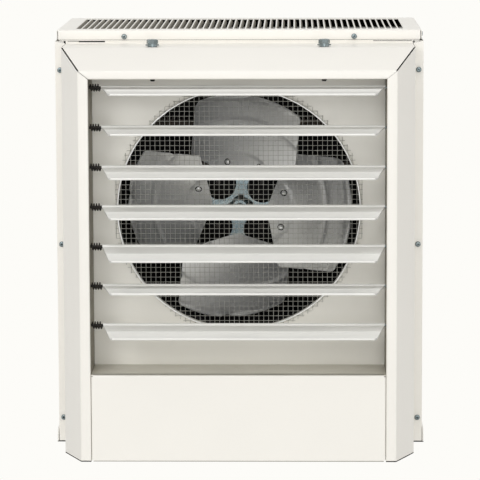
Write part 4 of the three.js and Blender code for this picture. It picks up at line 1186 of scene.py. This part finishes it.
class HEATER_OT_thermostat(Operator):
    """Thermostat body on the bottom pan, and its fluted knob under it"""

    bl_idname = "heater.thermostat"
    bl_label = "Thermostat and knob"

    def execute(self, context):
        x, y, floor = 146.0, -62.0, BODY_BOTTOM + 1.5
        parts = [
            block((x - 26, x + 26), (y - 21, y + 21), (floor, floor + 34), 1.5),
            block((x - 19, x + 19), (y - 14, y + 14), (floor + 33.4, floor + 40), 1.0),
        ]
        for side in (-1, 1):
            tab = turned([(0, 0), (2.6, 0), (2.6, 0.9), (0, 0.9)], "Z", 12, (x + side * 12, y, floor + 39.9))
            parts.append(painted(tab, 1))
        piece("thermostat_case", parts, ["pale_plastic", "zinc"], "cabinet", ["thermostat"])
        base = BODY_BOTTOM - GAP
        skirt = turned([(0, -3), (16.4, -3), (17, -2.4), (17, -0.4), (16.6, 0), (0, 0)], "Z", 48,
                       (x, y, base))
        ring = bmesh.new()
        made = bmesh.ops.create_circle(ring, cap_ends=True, radius=1.0, segments=72)["verts"]
        for i, vertex in enumerate(made):
            vertex.co *= (14.6, 13.6, 14.6)[i % 3]
        thickened(ring, "Z", -11.4)
        bottom = [f for f in ring.faces if f.normal.z < -0.5]
        bmesh.ops.inset_region(ring, faces=bottom, thickness=1.2, depth=0.0)
        bmesh.ops.translate(ring, verts=list({v for f in bottom for v in f.verts}), vec=(0, 0, -0.6))
        placed(ring, moved(x, y, base - 2.9))
        pointer = painted(block((x - 0.9, x + 0.9), (y - 12.5, y - 2), (base - 17.3, base - 14.6), 0.3), 1)
        stem = turned([(0, -1), (3, -1), (3, 15.6), (2.6, 16), (0, 16)], "Z", 20, (x, y, base))
        piece("thermostat_knob_dial", [skirt, ring, pointer, painted(stem, 2)],
              ["black_plastic", "pale_plastic", "zinc"], "dial", ["thermostat_knob"])
        return {"FINISHED"}


class HEATER_OT_gland(Operator):
    """Cable gland in the bottom pan, with a hexagonal flange"""

    bl_idname = "heater.gland"
    bl_label = "Conduit gland"

    def execute(self, context):
        centre = (-178.0, 60.0, BODY_BOTTOM)
        profile = [(9, -14)]
        for i in range(4):
            at = -13.6 + i * 1.6
            profile += [(13.2, at), (14, at + 0.5), (14, at + 0.8), (13.2, at + 1.3)]
        profile += [(13.6, -7), (13.6, 1)]
        for i in range(6):
            at = 1.2 + i * 1.4
            profile += [(13.2, at), (13.9, at + 0.5), (13.2, at + 1.1)]
        profile += [(13, 10), (9.8, 10), (9, 9.2), (9, -14)]
        body = turned(profile, "Z", 40, centre)
        nut = turned([(13.4, -6.8), (17.6, -6.8), (19, -6.0), (19, -0.9), (18.4, -0.3), (13.4, -0.3),
                      (13.4, -6.8)], "Z", 6, centre)
        piece("conduit_gland_body", [body, nut], ["zinc"], "cabinet", ["conduit_gland"], crease=28)
        return {"FINISHED"}


# ---------------------------------------------------------------- fasteners


def cross_screw():
    """Pan-head screw that faces the front, with a cross recess; its seat is at the origin."""
    bm = bmesh.new()
    rim = [bm.verts.new((x, -2.4, z)) for x, z in arc((0, 0), 2.5, 0, 360, 24)[:-1]]
    a, b = 0.4, 1.6
    arm = [(b, -a), (b, a), (a, a)]
    recess = [bm.verts.new((x, -2.4, z)) for turn in ((1, 0), (0, 1), (-1, 0), (0, -1))
              for x, z in [(turn[0] * x - turn[1] * z, turn[1] * x + turn[0] * z) for x, z in arm]]
    edges, cross = closed(bm, rim), closed(bm, recess)
    bmesh.ops.triangle_fill(bm, use_beauty=True, use_dissolve=False, edges=bm.edges[:])
    foot, edges_of_foot = pushed(bm, cross)
    bmesh.ops.translate(bm, verts=foot, vec=(0, 1.3, 0))
    bmesh.ops.contextual_create(bm, geom=edges_of_foot)
    for radius, y in ((3.1, -2.05), (3.5, -1.4), (3.6, -0.5), (3.6, 0.0), (1.7, 0.0), (1.7, 7.5), (0.2, 9.0)):
        ring, edges = pushed(bm, edges)
        for vertex in ring:
            away = Vector((vertex.co.x, vertex.co.z)).normalized() * radius
            vertex.co = (away.x, y, away.y)
    bmesh.ops.contextual_create(bm, geom=edges)
    # Painted shade: the faces of the cross recess take the dark enamel.
    for face in bm.faces:
        at = face.calc_center_median()
        face.material_index = int(-2.3 < at.y < -0.6 and hypot(at.x, at.z) < 2.2)
    return outwards(bm)


class HEATER_OT_screws(Operator):
    """Cross-recess screws in the flanges and the cover"""

    bl_idname = "heater.screws"
    bl_label = "Screws"

    def execute(self, context):
        screw = cross_screw()
        turns = (12, 58, -24, 40, 5, 71, 33, -16, 20, 64)
        flange_x, cover_x, side_y, cover_z, places = 233.3, 149.3, -74, -8.6, []
        for word, side in (("left", -1), ("right", 1)):
            for level, z in (("top", -52), ("middle", -281), ("bottom", -512)):
                places.append((f"flange_screw_{word}_{level}", moved(side * flange_x, BODY_FRONT - GAP, z)))
            places.append((f"cover_screw_front_{word}", moved(side * cover_x, -121.3, cover_z)))
            places.append((f"cover_screw_{word}_side",
                           moved(side * 237.8, side_y, cover_z) @ rotated(side * 90, "Z")))
        for (name, seat), turn in zip(places, turns):
            head = placed(screw.copy(), seat @ rotated(turn, "Y"))
            piece(name + "_head", [head], ["zinc", ENAMEL_AND_PAINTED_SHADE], "cabinet", [name])
        screw.free()
        return {"FINISHED"}


class HEATER_OT_bolts(Operator):
    """Hexagon suspension bolts with a washer, and their threaded tips"""

    bl_idname = "heater.bolts"
    bl_label = "Suspension bolts"

    def execute(self, context):
        across = 13 / sqrt(3)
        head = turned([(0, -8.0), (5.6, -8.0), (6.3, -8.2), (across, -8.9), (across, -13.6), (0, -13.6)],
                      "Z", 6)
        washer = turned([(3.4, -14.4), (8.6, -14.4), (8.8, -14.6), (8.8, -16.0), (3.4, -16.0), (3.4, -14.4)],
                        "Z", 40)
        nut = turned([(0, -13.5), (6.2, -13.5), (6.2, -17.6), (0, -17.6)], "Z", 32)
        thread = [(0, -13), (3.5, -13), (3.5, -20)]
        for i in range(33):
            at = -20.4 - i * 1.25
            thread += [(3.5, at), (3.5, at - 0.15), (3.0, at - 0.6), (3.0, at - 0.7)]
        thread += [(2.6, -62), (0, -62)]
        shank = turned(thread, "Z", 20)
        for word, side in (("left", -1), ("right", 1)):
            at = moved(side * 110, -176, 0)
            parts = [placed(part.copy(), rotated(11 * side, "Z"), at) for part in (head, washer, nut, shank)]
            # Painted shade: the shank below 30 mm takes the black steel finish, so that its tip under the
            # opening's top reads dark.
            piece(f"suspension_bolt_{word}_hexagon", parts, ["zinc", "black_steel"], "cabinet",
                  [f"suspension_bolt_{word}"], crease=28, inside=lambda at, n: at.z < -30)
        for part in (head, washer, nut, shank):
            part.free()
        return {"FINISHED"}


# ---------------------------------------------------------------- stage


class HEATER_OT_stage(Operator):
    """Pale floor and background, soft lamps and the camera"""

    bl_idname = "heater.stage"
    bl_label = "Stage"

    def execute(self, context):
        scene = bpy.context.scene
        yaw, pitch, roll = -0.02, 0.1271, 0.0033
        right = Vector((cos(yaw), -sin(yaw), 0))
        ahead = Vector((sin(yaw) * cos(pitch), cos(yaw) * cos(pitch), -sin(pitch)))
        up = Vector((sin(yaw) * sin(pitch), cos(yaw) * sin(pitch), cos(pitch)))
        across = right * cos(roll) - up * sin(roll)
        above = right * sin(roll) + up * cos(roll)
        camera = bpy.data.objects.new("camera", bpy.data.cameras.new("camera"))
        camera.data.lens, camera.data.sensor_width = 209.4, 36.0
        camera.data.shift_y = -0.1
        camera.data.clip_end = 50
        camera.matrix_world = Matrix.Translation((0.073, -3.742, 0.2506)) @ Matrix(
            (across, above, -ahead)).transposed().to_4x4()
        scene.collection.objects.link(camera)
        scene.camera = camera
        for name, at, aim, width, power in (
            ("key lamp", (-1.6, -3.7, 1.4), (0, 0, -0.3), 1.8, 42.0),
            ("front lamp", (0.3, -4.2, 0.1), (0, 0, -0.3), 2.0, 21.0),
            ("right lamp", (3.2, -2.2, 0.6), (0, 0, -0.3), 2.0, 14.0),
            ("top lamp", (0.1, -1.4, 2.9), (0, 0, -0.2), 2.4, 26.0),
        ):
            lamp = bpy.data.objects.new(name, bpy.data.lights.new(name, "AREA"))
            lamp.data.shape, lamp.data.size, lamp.data.energy = "DISK", width, power
            lamp.matrix_world = Matrix.Translation(at) @ (Vector(aim) - Vector(at)).to_track_quat(
                "-Z", "Y").to_matrix().to_4x4()
            scene.collection.objects.link(lamp)
        scene.world = bpy.data.worlds.new("backdrop")
        scene.world.use_nodes = True
        nodes, links = scene.world.node_tree.nodes, scene.world.node_tree.links
        seen = nodes["Background"]
        ambient, mix, path = [
            nodes.new("ShaderNode" + kind) for kind in ("Background", "MixShader", "LightPath")]
        seen.inputs["Color"].default_value = tint("backdrop")
        ambient.inputs["Color"].default_value = (1.0, 0.995, 0.985, 1.0)
        ambient.inputs["Strength"].default_value = 0.5
        either = path.outputs["Is Camera Ray"]
        for name in ("Is Glossy Ray", "Is Transmission Ray"):
            node = nodes.new("ShaderNodeMath")
            node.operation = "MAXIMUM"
            links.new(either, node.inputs[0])
            links.new(path.outputs[name], node.inputs[1])
            either = node.outputs[0]
        links.new(either, mix.inputs["Fac"])
        links.new(ambient.outputs["Background"], mix.inputs[1])
        links.new(seen.outputs["Background"], mix.inputs[2])
        links.new(mix.outputs["Shader"], nodes["World Output"].inputs["Surface"])
        floor = bmesh.new()
        bmesh.ops.create_circle(floor, cap_ends=True, radius=3.0, segments=96, matrix=moved(0, 0, -1.62))
        mesh = bpy.data.meshes.new("floor")
        floor.to_mesh(mesh)
        floor.free()
        ground = bpy.data.objects.new("floor", mesh)
        scene.collection.objects.link(ground)
        mesh.materials.append(self.floor_finish())
        scene.view_settings.view_transform = "Standard"
        return {"FINISHED"}

    def floor_finish(self):
        """Pale floor that keeps the shadow and fades into the background at its edge."""
        finish = Finish("floor", Roughness=0.9, Specular_IOR_Level=0.1)
        cloud = finish.spread(finish.noise(3.0, 2.0), 0.0, 1.0)
        finish.wear(Base_Color=finish.blend(cloud, tint("backdrop", 0.95), tint("backdrop", 0.94)))
        nodes = finish.nodes
        reach, seen, mix, glow, both = [nodes.new("ShaderNode" + kind) for kind in (
            "VectorMath", "LightPath", "MixShader", "Emission", "Math")]
        reach.operation = "LENGTH"
        both.operation = "MULTIPLY"
        glow.inputs["Color"].default_value = tint("backdrop")
        finish.link(finish.place, reach.inputs[0])
        finish.link(finish.spread(reach.outputs["Value"], 0.0, 1.0, 2.0, 3.1), both.inputs[0])
        finish.link(seen.outputs["Is Camera Ray"], both.inputs[1])
        finish.link(both.outputs[0], mix.inputs["Fac"])
        finish.link(finish.shader.outputs["BSDF"], mix.inputs[1])
        finish.link(glow.outputs["Emission"], mix.inputs[2])
        finish.link(mix.outputs["Shader"], nodes["Material Output"].inputs["Surface"])
        return finish.material


STEPS = (
    HEATER_OT_stage, HEATER_OT_cover, HEATER_OT_sides, HEATER_OT_pan, HEATER_OT_housing, HEATER_OT_recess,
    HEATER_OT_door, HEATER_OT_guard, HEATER_OT_louvers, HEATER_OT_springs, HEATER_OT_blades, HEATER_OT_hub,
    HEATER_OT_motor, HEATER_OT_elements, HEATER_OT_wiring, HEATER_OT_thermostat, HEATER_OT_gland,
    HEATER_OT_screws, HEATER_OT_bolts,
)


class HEATER_PT_pieces(Panel):
    """Lists the heater's pieces and settings"""

    bl_idname = "HEATER_PT_pieces"
    bl_label = "Fan heater"
    bl_space_type = "VIEW_3D"
    bl_region_type = "UI"
    bl_category = "Heater"

    def draw(self, context):
        for step in STEPS:
            self.layout.operator(step.bl_idname)
        for group in (context.scene.heater_sizes, context.scene.heater_colours):
            box = self.layout.box()
            for name in group.__annotations__:
                box.prop(group, name)


CLASSES = (HeaterSizes, HeaterColours, *STEPS, HEATER_PT_pieces)


def register():
    for item in CLASSES:
        bpy.utils.register_class(item)
    bpy.types.Scene.heater_sizes = PointerProperty(type=HeaterSizes)
    bpy.types.Scene.heater_colours = PointerProperty(type=HeaterColours)


def unregister():
    del bpy.types.Scene.heater_colours
    del bpy.types.Scene.heater_sizes
    for item in reversed(CLASSES):
        bpy.utils.unregister_class(item)


def main():
    register()
    for step in STEPS:
        group, name = step.bl_idname.split(".")
        getattr(getattr(bpy.ops, group), name)()


if __name__ == "__main__":
    main()
